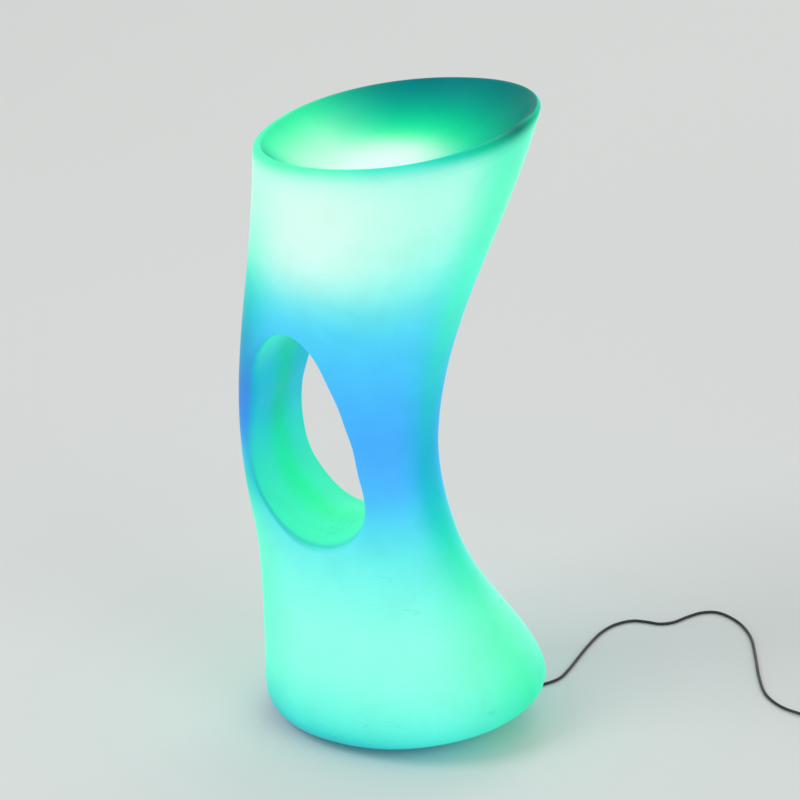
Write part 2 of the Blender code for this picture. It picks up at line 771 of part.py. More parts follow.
def battery(cradle_finish, cell_finish):
    """Two cells side by side in a cradle on the housing's floor."""
    axis_z = INSIDE_FLOOR + CRADLE_FLOOR + SEAT_GAP + CELL_RADIUS
    pocket_half = CELL_LENGTH / 2 + CELL_CAP_HEIGHT + SEAT_GAP
    size = (2 * (pocket_half + CRADLE_EDGE), CELL_PITCH + 2 * CELL_RADIUS + CRADLE_EDGE / 2, CRADLE_HEIGHT)
    cradle = block("battery_cradle", size, cradle_finish, (0, 0, INSIDE_FLOOR + CRADLE_HEIGHT / 2))
    half = CELL_LENGTH / 2
    outline = (
        (0, -half),
        (CELL_RADIUS, -half),
        (CELL_RADIUS, half),
        (CELL_CAP_RADIUS, half),
        (CELL_CAP_RADIUS, half + CELL_CAP_HEIGHT),
        (0, half + CELL_CAP_HEIGHT),
    )
    for i, side in enumerate((-1, 1), start=1):
        y = side * CELL_PITCH / 2
        turned(f"battery_cell_{i}", outline, cell_finish, (0, y, axis_z), 16, (0, side * math.pi / 2, 0))
        radius = CELL_RADIUS + SEAT_GAP
        pocket = ((0, -pocket_half), (radius, -pocket_half), (radius, pocket_half), (0, pocket_half))
        tool = turned(f"cell_pocket_{i}", pocket, None, (0, y, axis_z), 16, (0, math.pi / 2, 0))
        shape_with(cradle, tool, "DIFFERENCE")


def control_board(material):
    size = (BOARD_LENGTH, BOARD_WIDTH, BOARD_THICK)
    block("control_board", size, material, (0, BOARD_Y, BOARD_BOTTOM + BOARD_THICK / 2))


def charge_socket(material):
    """Socket under the board, its nose in the flange and its pin in the middle of the bore."""
    size = (SOCKET_LENGTH, SOCKET_WIDTH, SOCKET_HEIGHT)
    socket = block("charge_socket", size, material, (SOCKET_X, BOARD_Y, INSIDE_FLOOR + SOCKET_HEIGHT / 2))
    nose = rod_cutter(
        "socket_nose", SOCKET_NOSE_RADIUS, FLANGE_BOTTOM, INSIDE_FLOOR + SOCKET_HEIGHT / 2, 0, 0
    )
    top = INSIDE_FLOOR + SOCKET_HEIGHT - SOCKET_BACK
    outline = (
        (SOCKET_PIN_RADIUS, FLANGE_BOTTOM + OVERRUN),
        (0, FLANGE_BOTTOM + OVERRUN),
        (0, FLANGE_BOTTOM - OVERRUN),
        (SOCKET_BORE_RADIUS, FLANGE_BOTTOM - OVERRUN),
        (SOCKET_BORE_RADIUS, top),
        (SOCKET_PIN_RADIUS, top),
    )
    bore = turned("socket_bore", outline, None, (0, 0, 0), 16)
    for tool, operation in ((nose, "UNION"), (bore, "DIFFERENCE")):
        tool.location = (SOCKET_X, BOARD_Y, 0)
        shape_with(socket, tool, operation)


def switch(body_finish):
    """Push switch under the board, its plunger down towards the button."""
    middle = SWITCH_BOTTOM + SWITCH_HEIGHT / 2
    body = block("tact_switch", (SWITCH_SIZE, SWITCH_SIZE, SWITCH_HEIGHT), body_finish, (BUTTON_X, BOARD_Y, middle))
    shape_with(body, rod_cutter("plunger", PLUNGER_RADIUS, PLUNGER_BOTTOM, middle, BUTTON_X, BOARD_Y, 12), "UNION")


def power_button(material):
    """Button cap through the flange, held by its collar. It slides up on its own axis."""
    stem_top = PLUNGER_BOTTOM - SEAT_GAP - BUTTON_TRAVEL - FLANGE_BOTTOM
    collar = INSIDE_FLOOR - FLANGE_BOTTOM
    outline = (
        (0, -BUTTON_PROUD),
        (BUTTON_RADIUS - PAD_EDGE / 2, -BUTTON_PROUD),
        (BUTTON_RADIUS, PAD_EDGE / 2 - BUTTON_PROUD),
        (BUTTON_RADIUS, collar),
        (BUTTON_COLLAR_RADIUS, collar),
        (BUTTON_COLLAR_RADIUS, collar + BUTTON_COLLAR_THICK),
        (BUTTON_STEM_RADIUS, collar + BUTTON_COLLAR_THICK),
        (BUTTON_STEM_RADIUS, stem_top),
        (0, stem_top),
    )
    turned("power_button", outline, material, (BUTTON_X, BOARD_Y, FLANGE_BOTTOM), 16)


def button_seal(material):
    top, inner = FLANGE_BOTTOM - SEAT_GAP, BUTTON_RADIUS + SEAT_GAP
    outline = ((inner, top - SEAL_THICK), (SEAL_RADIUS, top - SEAL_THICK), (SEAL_RADIUS, top), (inner, top))
    turned("button_seal", outline, material, (BUTTON_X, BOARD_Y, 0), 16)


def indicator_lens(material):
    """Light pipe from the board to the underside, its head on the flange."""
    outline = (
        (0, FLANGE_BOTTOM),
        (INDICATOR_RADIUS, FLANGE_BOTTOM),
        (INDICATOR_RADIUS, INSIDE_FLOOR),
        (INDICATOR_HEAD_RADIUS, INSIDE_FLOOR),
        (INDICATOR_HEAD_RADIUS, INSIDE_FLOOR + INDICATOR_HEAD_THICK),
        (INDICATOR_RADIUS, INSIDE_FLOOR + INDICATOR_HEAD_THICK),
        (INDICATOR_RADIUS, BOARD_BOTTOM - SEAT_GAP),
        (0, BOARD_BOTTOM - SEAT_GAP),
    )
    turned("indicator_lens", outline, material, (INDICATOR_X, BOARD_Y, 0), 12)


# Lights


def base_lights(board_finish, led_finish, diffuser_finish):
    """Round board on the cup, six lights on it and the ring-shaped diffuser over them."""
    outline = (
        (0, LED_BOARD_BOTTOM),
        (LED_BOARD_RADIUS, LED_BOARD_BOTTOM),
        (LED_BOARD_RADIUS, LED_BOARD_TOP),
        (0, LED_BOARD_TOP),
    )
    turned("led_board", outline, board_finish, sides=32)
    middle = ON_LED_BOARD + LED_THICK / 2
    angles = [math.tau * i / LED_COUNT for i in range(LED_COUNT)]
    for i, (x, y) in enumerate(on_circle(LED_CIRCLE, angles)):
        turn = (0, 0, angles[i])
        block(f"base_led_{i + 1}", (LED_SIZE, LED_SIZE, LED_THICK), led_finish, (x, y, middle), LED_EDGE, turn)
    low, high, edge = ON_LED_BOARD, ON_LED_BOARD + DIFFUSER_HEIGHT, DIFFUSER_WALL
    outline = (
        (DIFFUSER_INNER, low),
        (DIFFUSER_INNER + edge, low),
        (DIFFUSER_INNER + edge, high - 2 * edge),
        (DIFFUSER_INNER + 2 * edge, high - edge),
        (DIFFUSER_OUTER - 2 * edge, high - edge),
        (DIFFUSER_OUTER - edge, high - 2 * edge),
        (DIFFUSER_OUTER - edge, low),
        (DIFFUSER_OUTER, low),
        (DIFFUSER_OUTER, high - edge),
        (DIFFUSER_OUTER - edge, high),
        (DIFFUSER_INNER + edge, high),
        (DIFFUSER_INNER, high - edge),
    )
    turned("base_diffuser", outline, diffuser_finish, sides=32)


def mast(collar_finish, tube_finish):
    """Collar on the round board, and the tube that stands in it inside the rear of the waist."""
    bore = MAST_RADIUS + SEAT_GAP
    low, seat = ON_LED_BOARD, ON_LED_BOARD + COLLAR_FLANGE_THICK
    outline = (
        (0, low),
        (COLLAR_FLANGE_RADIUS, low),
        (COLLAR_FLANGE_RADIUS, seat),
        (COLLAR_RADIUS, seat),
        (COLLAR_RADIUS, low + COLLAR_HEIGHT),
        (bore, low + COLLAR_HEIGHT),
        (bore, seat),
        (0, seat),
    )
    turned("mast_collar", outline, collar_finish, (0, MAST_Y, 0), 16)
    foot, inner = seat + SEAT_GAP, MAST_RADIUS - MAST_WALL
    outline = ((inner, foot), (MAST_RADIUS, foot), (MAST_RADIUS, MAST_TOP), (inner, MAST_TOP))
    turned("lamp_mast", outline, tube_finish, (0, MAST_Y, 0), 16)


def mast_head(head_finish, led_finish, cover_finish):
    """Six-sided head on the mast, a light on each face, and the cover over it."""
    corner = HEAD_APOTHEM / math.cos(math.pi / LED_COUNT)
    outline = ((0, HEAD_BOTTOM), (corner, HEAD_BOTTOM), (corner, HEAD_TOP), (0, HEAD_TOP))
    head = turned("lamp_head", outline, head_finish, (0, MAST_Y, 0), LED_COUNT)
    bore = MAST_RADIUS + SEAT_GAP
    shape_with(head, rod_cutter("head_socket", bore, HEAD_BOTTOM - OVERRUN, MAST_TOP + SEAT_GAP, 0, MAST_Y), "DIFFERENCE")
    reach, middle = HEAD_APOTHEM + SEAT_GAP + LED_THICK / 2, HEAD_BOTTOM + HEAD_HEIGHT / 2
    for i in range(LED_COUNT):
        angle = math.tau * (i + 0.5) / LED_COUNT
        at = (reach * math.cos(angle), MAST_Y + reach * math.sin(angle), middle)
        turn = Matrix.Rotation(angle, 3, "Z") @ Matrix.Rotation(math.pi / 2, 3, "Y")
        size = (LED_SIZE, LED_SIZE, LED_THICK)
        block(f"head_led_{i + 1}", size, led_finish, at, LED_EDGE, turn.to_euler())
    wall, low, high = HEAD_COVER_WALL, HEAD_BOTTOM - HEAD_COVER_SKIRT, HEAD_TOP + SEAT_GAP
    outer = HEAD_COVER_RADIUS
    crown = high + wall + HEAD_COVER_DOME
    shoulder = (crown - high) / 2
    outline = (
        (outer - wall, low),
        (outer, low),
        (outer, high),
        (outer * math.cos(math.pi / 6), high + shoulder),
        (outer / 2, crown - wall),
        (0, crown),
        (0, high),
        (outer - wall, high),
    )
    turned("head_cover", outline, cover_finish, (0, MAST_Y, 0), 20)


# Charging plug and lead


def lead_heading():
    """Direction in plan from the socket to the start of the lead."""
    return math.atan2(LEAD_ROUTE[0][1] - BOARD_Y, LEAD_ROUTE[0][0] - SOCKET_X)


def charging_plug(moulding, metal):
    """Right-angle plug hanging from the socket, with its tapered strain relief."""
    heading = lead_heading()
    outline = (
        (0, PLUG_BOTTOM),
        (PLUG_RADIUS - PLUG_EDGE, PLUG_BOTTOM),
        (PLUG_RADIUS, PLUG_BOTTOM + PLUG_EDGE),
        (PLUG_RADIUS, PLUG_TOP),
        (0, PLUG_TOP),
    )
    plug = turned("charge_plug", outline, moulding, (SOCKET_X, BOARD_Y, 0), 16)
    arm = turned(
        "plug_arm",
        ((0, 0), (PLUG_ARM_RADIUS, 0), (PLUG_ARM_RADIUS, PLUG_ARM_REACH), (0, PLUG_ARM_REACH)),
        None,
        (SOCKET_X, BOARD_Y, PLUG_ARM_Z),
        12,
        (0, math.pi / 2, heading),
    )
    shape_with(plug, arm, "UNION")
    low = PLUG_TOP + SEAT_GAP
    outline = (
        (BARREL_BORE_RADIUS, low),
        (BARREL_RADIUS, low),
        (BARREL_RADIUS, low + BARREL_LENGTH),
        (BARREL_BORE_RADIUS, low + BARREL_LENGTH),
    )
    turned("plug_barrel", outline, metal, (SOCKET_X, BOARD_Y, 0), 16)
    start = PLUG_ARM_REACH + SEAT_GAP
    outline = (
        (0, start),
        (RELIEF_ROOT_RADIUS, start),
        (RELIEF_TIP_RADIUS, start + RELIEF_LENGTH),
        (0, start + RELIEF_LENGTH),
    )
    turned("plug_relief", outline, moulding, (SOCKET_X, BOARD_Y, PLUG_ARM_Z), 12, (0, math.pi / 2, heading))


def smooth_run(points, count):
    """Evenly spaced points on a smooth curve through the route's own points."""
    knots = np.array(points)
    padded = np.vstack([2 * knots[0] - knots[1], knots, 2 * knots[-1] - knots[-2]])
    t = np.linspace(0, 1, CURVE_STEPS, endpoint=False)[:, None]
    runs = []
    for p0, p1, p2, p3 in zip(padded, padded[1:], padded[2:], padded[3:]):
        runs.append(p1 + t / 2 * (p2 - p0 + t * (2 * p0 - 5 * p1 + 4 * p2 - p3 + t * (3 * (p1 - p2) + p3 - p0))))
    curve = np.vstack([*runs, knots[-1:]])
    along = np.concatenate([[0], np.cumsum(np.linalg.norm(np.diff(curve, axis=0), axis=1))])
    stops = np.linspace(0, along[-1], count)
    return np.column_stack([np.interp(stops, along, curve[:, k]) for k in range(3)])


def lead(material):
    points = smooth_run(LEAD_ROUTE, LEAD_POINTS)
    tube_along("cord_lead", [tuple(p) for p in points], LEAD_RADIUS, 2, material)
    return float(np.linalg.norm(np.diff(points, axis=0), axis=1).sum())


def coil_middle():
    """The coil turns back to where the lead meets it, heading the same way."""
    end = LEAD_ROUTE[-1]
    return end[0] - COIL_OUTER, end[1] + SEAT_GAP + COIL_START_RUN


def coil_points():
    """Two layers of turns: in on the lower one, up and out again on the upper one, then straight to the adapter."""
    cx, cy = coil_middle()
    steps = COIL_TURNS * COIL_TURN_POINTS
    points = [(cx + COIL_OUTER, cy - COIL_START_RUN, COIL_LOW_Z)]
    for i in range(steps + 1):
        turns = i / COIL_TURN_POINTS - COIL_TURNS / 2
        radius = COIL_INNER + COIL_PITCH * abs(turns)
        climb = min(max(turns * 2 + 0.5, 0), 1)
        z = COIL_LOW_Z + COIL_PITCH * (1 - math.cos(math.pi * climb)) / 2
        angle = math.tau * i / COIL_TURN_POINTS
        points.append((cx + radius * math.cos(angle), cy + radius * math.sin(angle), z))
    points.append((cx + COIL_OUTER, cy + COIL_END_RUN, COIL_HIGH_Z))
    return points


def coil(material):
    points = coil_points()
    tube_along("cord_coil", points, LEAD_RADIUS, 1, material)
    line = np.array(points)
    apart = np.linalg.norm(line[:, None] - line[None], axis=2)
    near = np.abs(np.subtract.outer(np.arange(len(line)), np.arange(len(line)))) < COIL_TURN_POINTS / 2
    least = float(apart[~near].min()) - 2 * LEAD_RADIUS
    print(f"least gap of the coil to itself {least * 1000:.2f} mm")
    return float(np.linalg.norm(np.diff(line, axis=0), axis=1).sum())


def coil_tie(material):
    """A flat tie round all the turns at one place."""
    cx, cy = coil_middle()
    inner = COIL_INNER - LEAD_RADIUS - TIE_CLEARANCE
    outer = COIL_OUTER + LEAD_RADIUS + SEAT_GAP
    high = COIL_HIGH_Z + LEAD_RADIUS + SEAT_GAP
    middle = (inner + outer) / 2
    size = (outer - inner + 2 * TIE_THICK, TIE_WIDTH, high + TIE_THICK)
    at = (cx + middle * math.cos(TIE_ANGLE), cy + middle * math.sin(TIE_ANGLE), size[2] / 2)
    tie = block("coil_tie", size, material, at, TIE_THICK / 4, (0, 0, TIE_ANGLE))
    hole = (outer - inner, TIE_WIDTH + OVERRUN, high - TIE_THICK)
    window = block("tie_window", hole, None, (at[0], at[1], TIE_THICK + hole[2] / 2), 0, (0, 0, TIE_ANGLE))
    shape_with(tie, window, "DIFFERENCE")


def adapter(moulding, relief_finish, metal):
    """Mains adapter at the end of the lead, lying on the floor beside the coil."""
    cx, cy = coil_middle()
    x, start = cx + COIL_OUTER, cy + COIL_END_RUN + SEAT_GAP
    outline = (
        (0, 0),
        (ADAPTER_RELIEF_TIP_RADIUS, 0),
        (ADAPTER_RELIEF_ROOT_RADIUS, ADAPTER_RELIEF_LENGTH),
        (0, ADAPTER_RELIEF_LENGTH),
    )
    turned("adapter_relief", outline, relief_finish, (x, start, COIL_HIGH_Z), 12, (-math.pi / 2, 0, 0))
    face = start + ADAPTER_RELIEF_LENGTH + SEAT_GAP
    size = (ADAPTER_WIDTH, ADAPTER_LENGTH, ADAPTER_HEIGHT)
    at = (x, face + ADAPTER_LENGTH / 2, ADAPTER_HEIGHT / 2)
    block("adapter_body", size, moulding, at, ADAPTER_EDGE)
    pin_y = face + ADAPTER_LENGTH + SEAT_GAP + PIN_LENGTH / 2
    for i, side in enumerate((-1, 1), start=1):
        at = (x + side * PIN_SPREAD / 2, pin_y, ADAPTER_HEIGHT / 2)
        block(f"adapter_pin_{i}", (PIN_THICK, PIN_LENGTH, PIN_WIDTH), metal, at, PIN_THICK / 4)


def main():
    clear_scene()
    moulded = finish("translucent_polyethylene", (0.35, 0.95, 0.80), 0.45)
    rubber = finish("black_rubber", (0.02, 0.02, 0.022), 0.8)
    silicone = finish("grey_silicone", (0.30, 0.30, 0.31), 0.6)
    brass = finish("brass", (0.80, 0.58, 0.25), 0.35, 1.0)
    steel = finish("zinc_plated_steel", (0.70, 0.70, 0.68), 0.35, 1.0)
    white_plastic = finish("white_abs", (0.82, 0.82, 0.80), 0.45)
    black_plastic = finish("black_abs", (0.03, 0.03, 0.032), 0.5)
    cell_wrap = finish("blue_cell_wrap", (0.05, 0.20, 0.55), 0.4)
    board = finish("green_board", (0.02, 0.20, 0.08), 0.5)
    light_board = finish("white_light_board", (0.85, 0.85, 0.83), 0.4)
    light = finish("lit_diode", (0.55, 1.00, 0.85), 0.3)
    opal = finish("opal_polycarbonate", (0.80, 0.90, 0.88), 0.35)
    aluminium = finish("anodised_aluminium", (0.75, 0.76, 0.78), 0.35, 1.0)
    sheath = finish("black_cable_sheath", (0.025, 0.025, 0.027), 0.55)
    clear = finish("clear_polycarbonate", (0.75, 0.85, 0.85), 0.15)
    body_shell(moulded)
    foot_pads(rubber)
    threaded_inserts(brass)
    module_screws(steel)
    module_gasket(silicone)
    module_housing(white_plastic)
    battery(black_plastic, cell_wrap)
    control_board(board)
    charge_socket(black_plastic)
    switch(black_plastic)
    power_button(silicone)
    button_seal(rubber)
    indicator_lens(clear)
    base_lights(light_board, light, opal)
    mast(white_plastic, aluminium)
    mast_head(aluminium, light, opal)
    charging_plug(black_plastic, steel)
    length = lead(sheath) + coil(sheath)
    print(f"length of the lead {length:.3f} m")
    coil_tie(black_plastic)
    adapter(black_plastic, sheath, steel)


main()
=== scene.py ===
"""Looks of the light-up bar stool: its glowing body, the parts under it, its lead and the studio round it.

Lengths are metres, +Z is up, +Y is the high back of the seat, and the origin is on the floor under the stool.
"""

import logging
import math
from collections.abc import Callable, Iterable, Sequence
from dataclasses import dataclass
from enum import Enum
from functools import cached_property
from typing import Any

import bmesh
import bpy
import numpy as np
from mathutils import Matrix, Vector


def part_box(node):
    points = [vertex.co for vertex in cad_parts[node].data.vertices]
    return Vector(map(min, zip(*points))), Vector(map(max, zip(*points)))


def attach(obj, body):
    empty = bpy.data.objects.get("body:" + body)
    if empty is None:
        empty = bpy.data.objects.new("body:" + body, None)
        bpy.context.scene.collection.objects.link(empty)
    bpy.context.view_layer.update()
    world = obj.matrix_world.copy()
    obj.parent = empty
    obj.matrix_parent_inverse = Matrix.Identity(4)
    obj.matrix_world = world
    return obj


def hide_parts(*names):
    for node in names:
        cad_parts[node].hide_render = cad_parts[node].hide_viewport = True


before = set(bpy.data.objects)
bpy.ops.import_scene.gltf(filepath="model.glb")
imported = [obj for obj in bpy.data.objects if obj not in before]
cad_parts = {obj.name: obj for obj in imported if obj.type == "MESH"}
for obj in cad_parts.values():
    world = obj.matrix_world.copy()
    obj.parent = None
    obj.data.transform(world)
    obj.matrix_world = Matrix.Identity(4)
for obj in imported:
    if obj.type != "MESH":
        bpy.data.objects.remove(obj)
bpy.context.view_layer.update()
log = logging.getLogger("stool")

MM = 0.001
SEAM_GAP = 0.0003
ROOT = "root"
Point = tuple[float, float, float]
Outline = Sequence[tuple[float, float]]
BMesh = bmesh.types.BMesh
Material = bpy.types.Material
Tree = bpy.types.NodeTree
Socket = bpy.types.NodeSocket
MAP_INPUTS = ("Value", "From Min", "From Max", "To Min", "To Max")
PATCH_SPAN = (0.3, 0.7)


def linear(colour: str) -> Point:
    """Turn an sRGB hex colour into linear light.

    Args:
        colour: The colour as "#rrggbb".

    Returns:
        Red, green and blue from 0 to 1.
    """
    shares = [int(colour[i : i + 2], 16) / 255 for i in (1, 3, 5)]
    red, green, blue = (s / 12.92 if s <= 0.04045 else ((s + 0.055) / 1.055) ** 2.4 for s in shares)
    return red, green, blue


def add_node(tree: Tree, kind: str, inputs: dict[str | int, Any] | None = None, **settings: Any) -> Any:
    """Add one node with its settings and its links.

    Args:
        tree: The node tree of a material or of the world.
        kind: The node's type in Blender.
        inputs: Values by input, where a socket of another node is linked.
        settings: Properties of the node itself.

    Returns:
        The new node.
    """
    node = tree.nodes.new(kind)
    for name, value in settings.items():
        setattr(node, name, value)
    for name, value in (inputs or {}).items():
        if isinstance(value, Socket):
            tree.links.new(value, node.inputs[name])
        else:
            node.inputs[name].default_value = value
    return node


# Finishes


class Grain(Enum):
    """Which way the fine texture of a surface runs."""

    EVEN = (1.0, 1.0, 1.0)
    ALONG_Z = (1.0, 1.0, 0.04)
    ROUND_Z = (0.15, 0.15, 1.0)


def started(name: str, colour: str) -> tuple[Material, Any, Socket]:
    """Start a material.

    Args:
        name: Its name.
        colour: Its colour in the plain view, as "#rrggbb".

    Returns:
        The material, its Principled shader and its Object coordinates, in metres.
    """
    material = bpy.data.materials.new(name)
    material.use_nodes = True
    material.diffuse_color = (*linear(colour), 1)
    tree = material.node_tree
    return material, tree.nodes["Principled BSDF"], add_node(tree, "ShaderNodeTexCoord").outputs["Object"]


@dataclass(frozen=True)
class Finish:
    """A surface with a fine texture, slight changes of colour and a worn sheen.

    Sizes of the texture are in millimetres.
    """

    name: str
    colour: str
    roughness: float
    grain_mm: float = 0.6
    relief_mm: float = 0.02
    mottle: float = 0.04
    metallic: float = 0.0
    grain: Grain = Grain.EVEN
    patch_mm: float = 14.0
    sheen_change: float = 0.08

    def material(self) -> Material:
        """Build the material.

        Returns:
            A material whose nodes read Object coordinates.
        """
        material, shader, where = started(self.name, self.colour)
        shader.inputs["Metallic"].default_value = self.metallic
        tree = material.node_tree
        grain = add_node(tree, "ShaderNodeMapping", {"Vector": where, "Scale": self.grain.value}).outputs[0]
        texture = {"Vector": grain, "Scale": 1 / (self.grain_mm * MM), "Detail": 3}
        fine = add_node(tree, "ShaderNodeTexNoise", texture).outputs["Fac"]
        texture = {"Vector": where, "Scale": 1 / (self.patch_mm * MM), "Detail": 2}
        patches = add_node(tree, "ShaderNodeTexNoise", texture).outputs["Fac"]
        ramp = add_node(tree, "ShaderNodeValToRGB", {"Fac": patches})
        for stop, place, share in zip(ramp.color_ramp.elements, PATCH_SPAN, (1 - self.mottle, 1 + self.mottle)):
            stop.position = place
            stop.color = (*(channel * share for channel in linear(self.colour)), 1)
        tree.links.new(ramp.outputs[0], shader.inputs["Base Color"])
        sheen = self.roughness - self.sheen_change / 2, self.roughness + self.sheen_change / 2
        rough = add_node(tree, "ShaderNodeMapRange", dict(zip(MAP_INPUTS, (patches, *PATCH_SPAN, *sheen))))
        tree.links.new(rough.outputs[0], shader.inputs["Roughness"])
        relief = {"Height": fine, "Distance": self.relief_mm * MM, "Strength": 1.0}
        tree.links.new(add_node(tree, "ShaderNodeBump", relief).outputs[0], shader.inputs["Normal"])
        self.finish_off(shader)
        return material

    def finish_off(self, shader: Any) -> None:
        """Set nothing more on the shader."""


@dataclass(frozen=True)
class LitFinish(Finish):
    """A finish that also gives light of its own colour."""

    strength: float = 1.0

    def finish_off(self, shader: Any) -> None:
        """Light the surface up."""
        shader.inputs["Emission Color"].default_value = (*linear(self.colour), 1)
        shader.inputs["Emission Strength"].default_value = self.strength


@dataclass(frozen=True)
class ClearFinish(Finish):
    """A clear plastic, such as a light pipe."""

    refraction: float = 1.585
    clearness: float = 0.8

    def finish_off(self, shader: Any) -> None:
        """Let light through the surface."""
        shader.inputs["Transmission Weight"].default_value = self.clearness
        shader.inputs["IOR"].default_value = self.refraction


@dataclass(frozen=True)
class Scuff:
    """A place where the body has been rubbed: its middle, its size and the way that its streaks run."""

    middle: Point
    radius: float
    streaks: Point
    depth: float


@dataclass(frozen=True)
class GlowingPolyethylene:
    """Rotation-moulded polyethylene, lit from inside.

    The moulding leaves a satin skin with a shallow pebble, and the wall spreads the light so that no lamp shows.
    The light's colour comes with each point of the surface, as the body works it out. About a fifth of it, light and
    painted shade included, is also painted into the plastic's base colour, which the light of the room falls on.
    """

    name: str = "lit_polyethylene"
    colour: str = "#7ff0e6"
    layer: str = "glow"
    # Share of the glow, its light and painted shade, that is painted into the base colour too
    painted_glow_share: float = 0.22
    lit_share: float = 0.86
    gloss: float = 0.04
    roughness: float = 0.40
    pebble_mm: float = 1.6
    pebble_relief_mm: float = 0.035
    flow_mm: float = 38.0
    flow_change: float = 0.05
    flow_span: tuple[float, float] = (0.25, 0.75)
    streak_mm: float = 14.0
    streak_span: tuple[float, float] = (0.53, 0.66)
    rub_shade: float = -0.16
    rub_roughness: float = 0.25
    scuffs: tuple[Scuff, ...] = (
        Scuff((0.070, 0.031, 0.202), 0.013, (1, 1, 6), 1.5),
        Scuff((0.073, 0.067, 0.170), 0.015, (1, 1, 6), 1.5),
        Scuff((0.150, 0.042, 0.055), 0.016, (1, 1, 6), 1.2),
        Scuff((0.142, 0.079, 0.060), 0.014, (1, 1, 6), 1.2),
        Scuff((0.149, 0.000, 0.028), 0.026, (1, 1, 7), 1.3),
        Scuff((0.073, 0.166, 0.062), 0.018, (1, 1, 6), 1.0),
        Scuff((0.030, -0.058, 0.230), 0.036, (1.5, 5, 1), 0.7),
        Scuff((-0.110, -0.070, 0.035), 0.030, (1, 1, 8), 0.8),
    )

    def material(self) -> Material:
        """Build the material.

        Returns:
            A material that reads the glow attribute and Object coordinates.
        """
        material, shader, where = started(self.name, self.colour)
        material.cycles.emission_sampling = "NONE"
        tree = material.node_tree
        glow = add_node(tree, "ShaderNodeAttribute", attribute_name=self.layer).outputs["Color"]
        texture = {"Vector": where, "Scale": 1 / (self.flow_mm * MM), "Detail": 3, "Distortion": 0.4}
        flow = add_node(tree, "ShaderNodeTexNoise", texture).outputs["Fac"]
        span = (flow, *self.flow_span, 1 - self.flow_change, 1 + self.flow_change / 2)
        level = add_node(tree, "ShaderNodeMapRange", dict(zip(MAP_INPUTS, span))).outputs[0]
        rub = self.rubbed(tree, where)
        darker = {0: rub, 1: self.rub_shade, 2: 1.0}
        shade = add_node(tree, "ShaderNodeMath", darker, operation="MULTIPLY_ADD").outputs[0]
        level = add_node(tree, "ShaderNodeMath", {0: level, 1: shade}, operation="MULTIPLY").outputs[0]
        lit = add_node(tree, "ShaderNodeVectorMath", {0: glow, "Scale": level}, operation="SCALE").outputs[0]
        # The base colour is painted with the glow, that is with its light and its painted shade
        own = add_node(tree, "ShaderNodeVectorMath", {0: lit, "Scale": self.painted_glow_share}, operation="SCALE")
        tree.links.new(own.outputs[0], shader.inputs["Base Color"])
        tree.links.new(lit, shader.inputs["Emission Color"])
        shader.inputs["Emission Strength"].default_value = self.lit_share
        shader.inputs["Specular IOR Level"].default_value = self.gloss
        duller = {0: rub, 1: self.rub_roughness, 2: self.roughness}
        rough = add_node(tree, "ShaderNodeMath", duller, operation="MULTIPLY_ADD", use_clamp=True)
        tree.links.new(rough.outputs[0], shader.inputs["Roughness"])
        texture = {"Vector": where, "Scale": 1 / (self.pebble_mm * MM), "Detail": 2}
        pebble = add_node(tree, "ShaderNodeTexNoise", texture).outputs["Fac"]
        height = add_node(tree, "ShaderNodeMath", {0: rub, 1: pebble}, operation="ADD").outputs[0]
        relief = {"Height": height, "Distance": self.pebble_relief_mm * MM, "Strength": 1.0}
        tree.links.new(add_node(tree, "ShaderNodeBump", relief).outputs[0], shader.inputs["Normal"])
        return material

    def rubbed(self, tree: Tree, where: Socket) -> Socket:
        """Streaks of rubbing at the scuffed places.

        Args:
            tree: The material's nodes.
            where: Object coordinates.

        Returns:
            How rubbed the surface is, from 0 to 1.
        """
        total = None
        for scuff in self.scuffs:
            local = add_node(tree, "ShaderNodeVectorMath", {0: where, 1: scuff.middle}, operation="SUBTRACT").outputs[0]
            off = add_node(tree, "ShaderNodeVectorMath", {0: local}, operation="LENGTH").outputs["Value"]
            fall = dict(zip(MAP_INPUTS, (off, 0.0, scuff.radius, scuff.depth, 0.0)))
            near = add_node(tree, "ShaderNodeMapRange", fall, interpolation_type="SMOOTHSTEP").outputs[0]
            run = add_node(tree, "ShaderNodeVectorMath", {0: local, 1: scuff.streaks}, operation="MULTIPLY")
            texture = {"Vector": run.outputs[0], "Scale": 1 / (self.streak_mm * MM), "Detail": 4, "Distortion": 0.6}
            streak = add_node(tree, "ShaderNodeTexNoise", texture).outputs["Fac"]
            rise = dict(zip(MAP_INPUTS, (streak, *self.streak_span, 0.0, 1.0)))
            line = add_node(tree, "ShaderNodeMapRange", rise, interpolation_type="SMOOTHSTEP").outputs[0]
            here = add_node(tree, "ShaderNodeMath", {0: near, 1: line}, operation="MULTIPLY").outputs[0]
            if total is not None:
                here = add_node(tree, "ShaderNodeMath", {0: total, 1: here}, operation="ADD").outputs[0]
            total = here
        return total


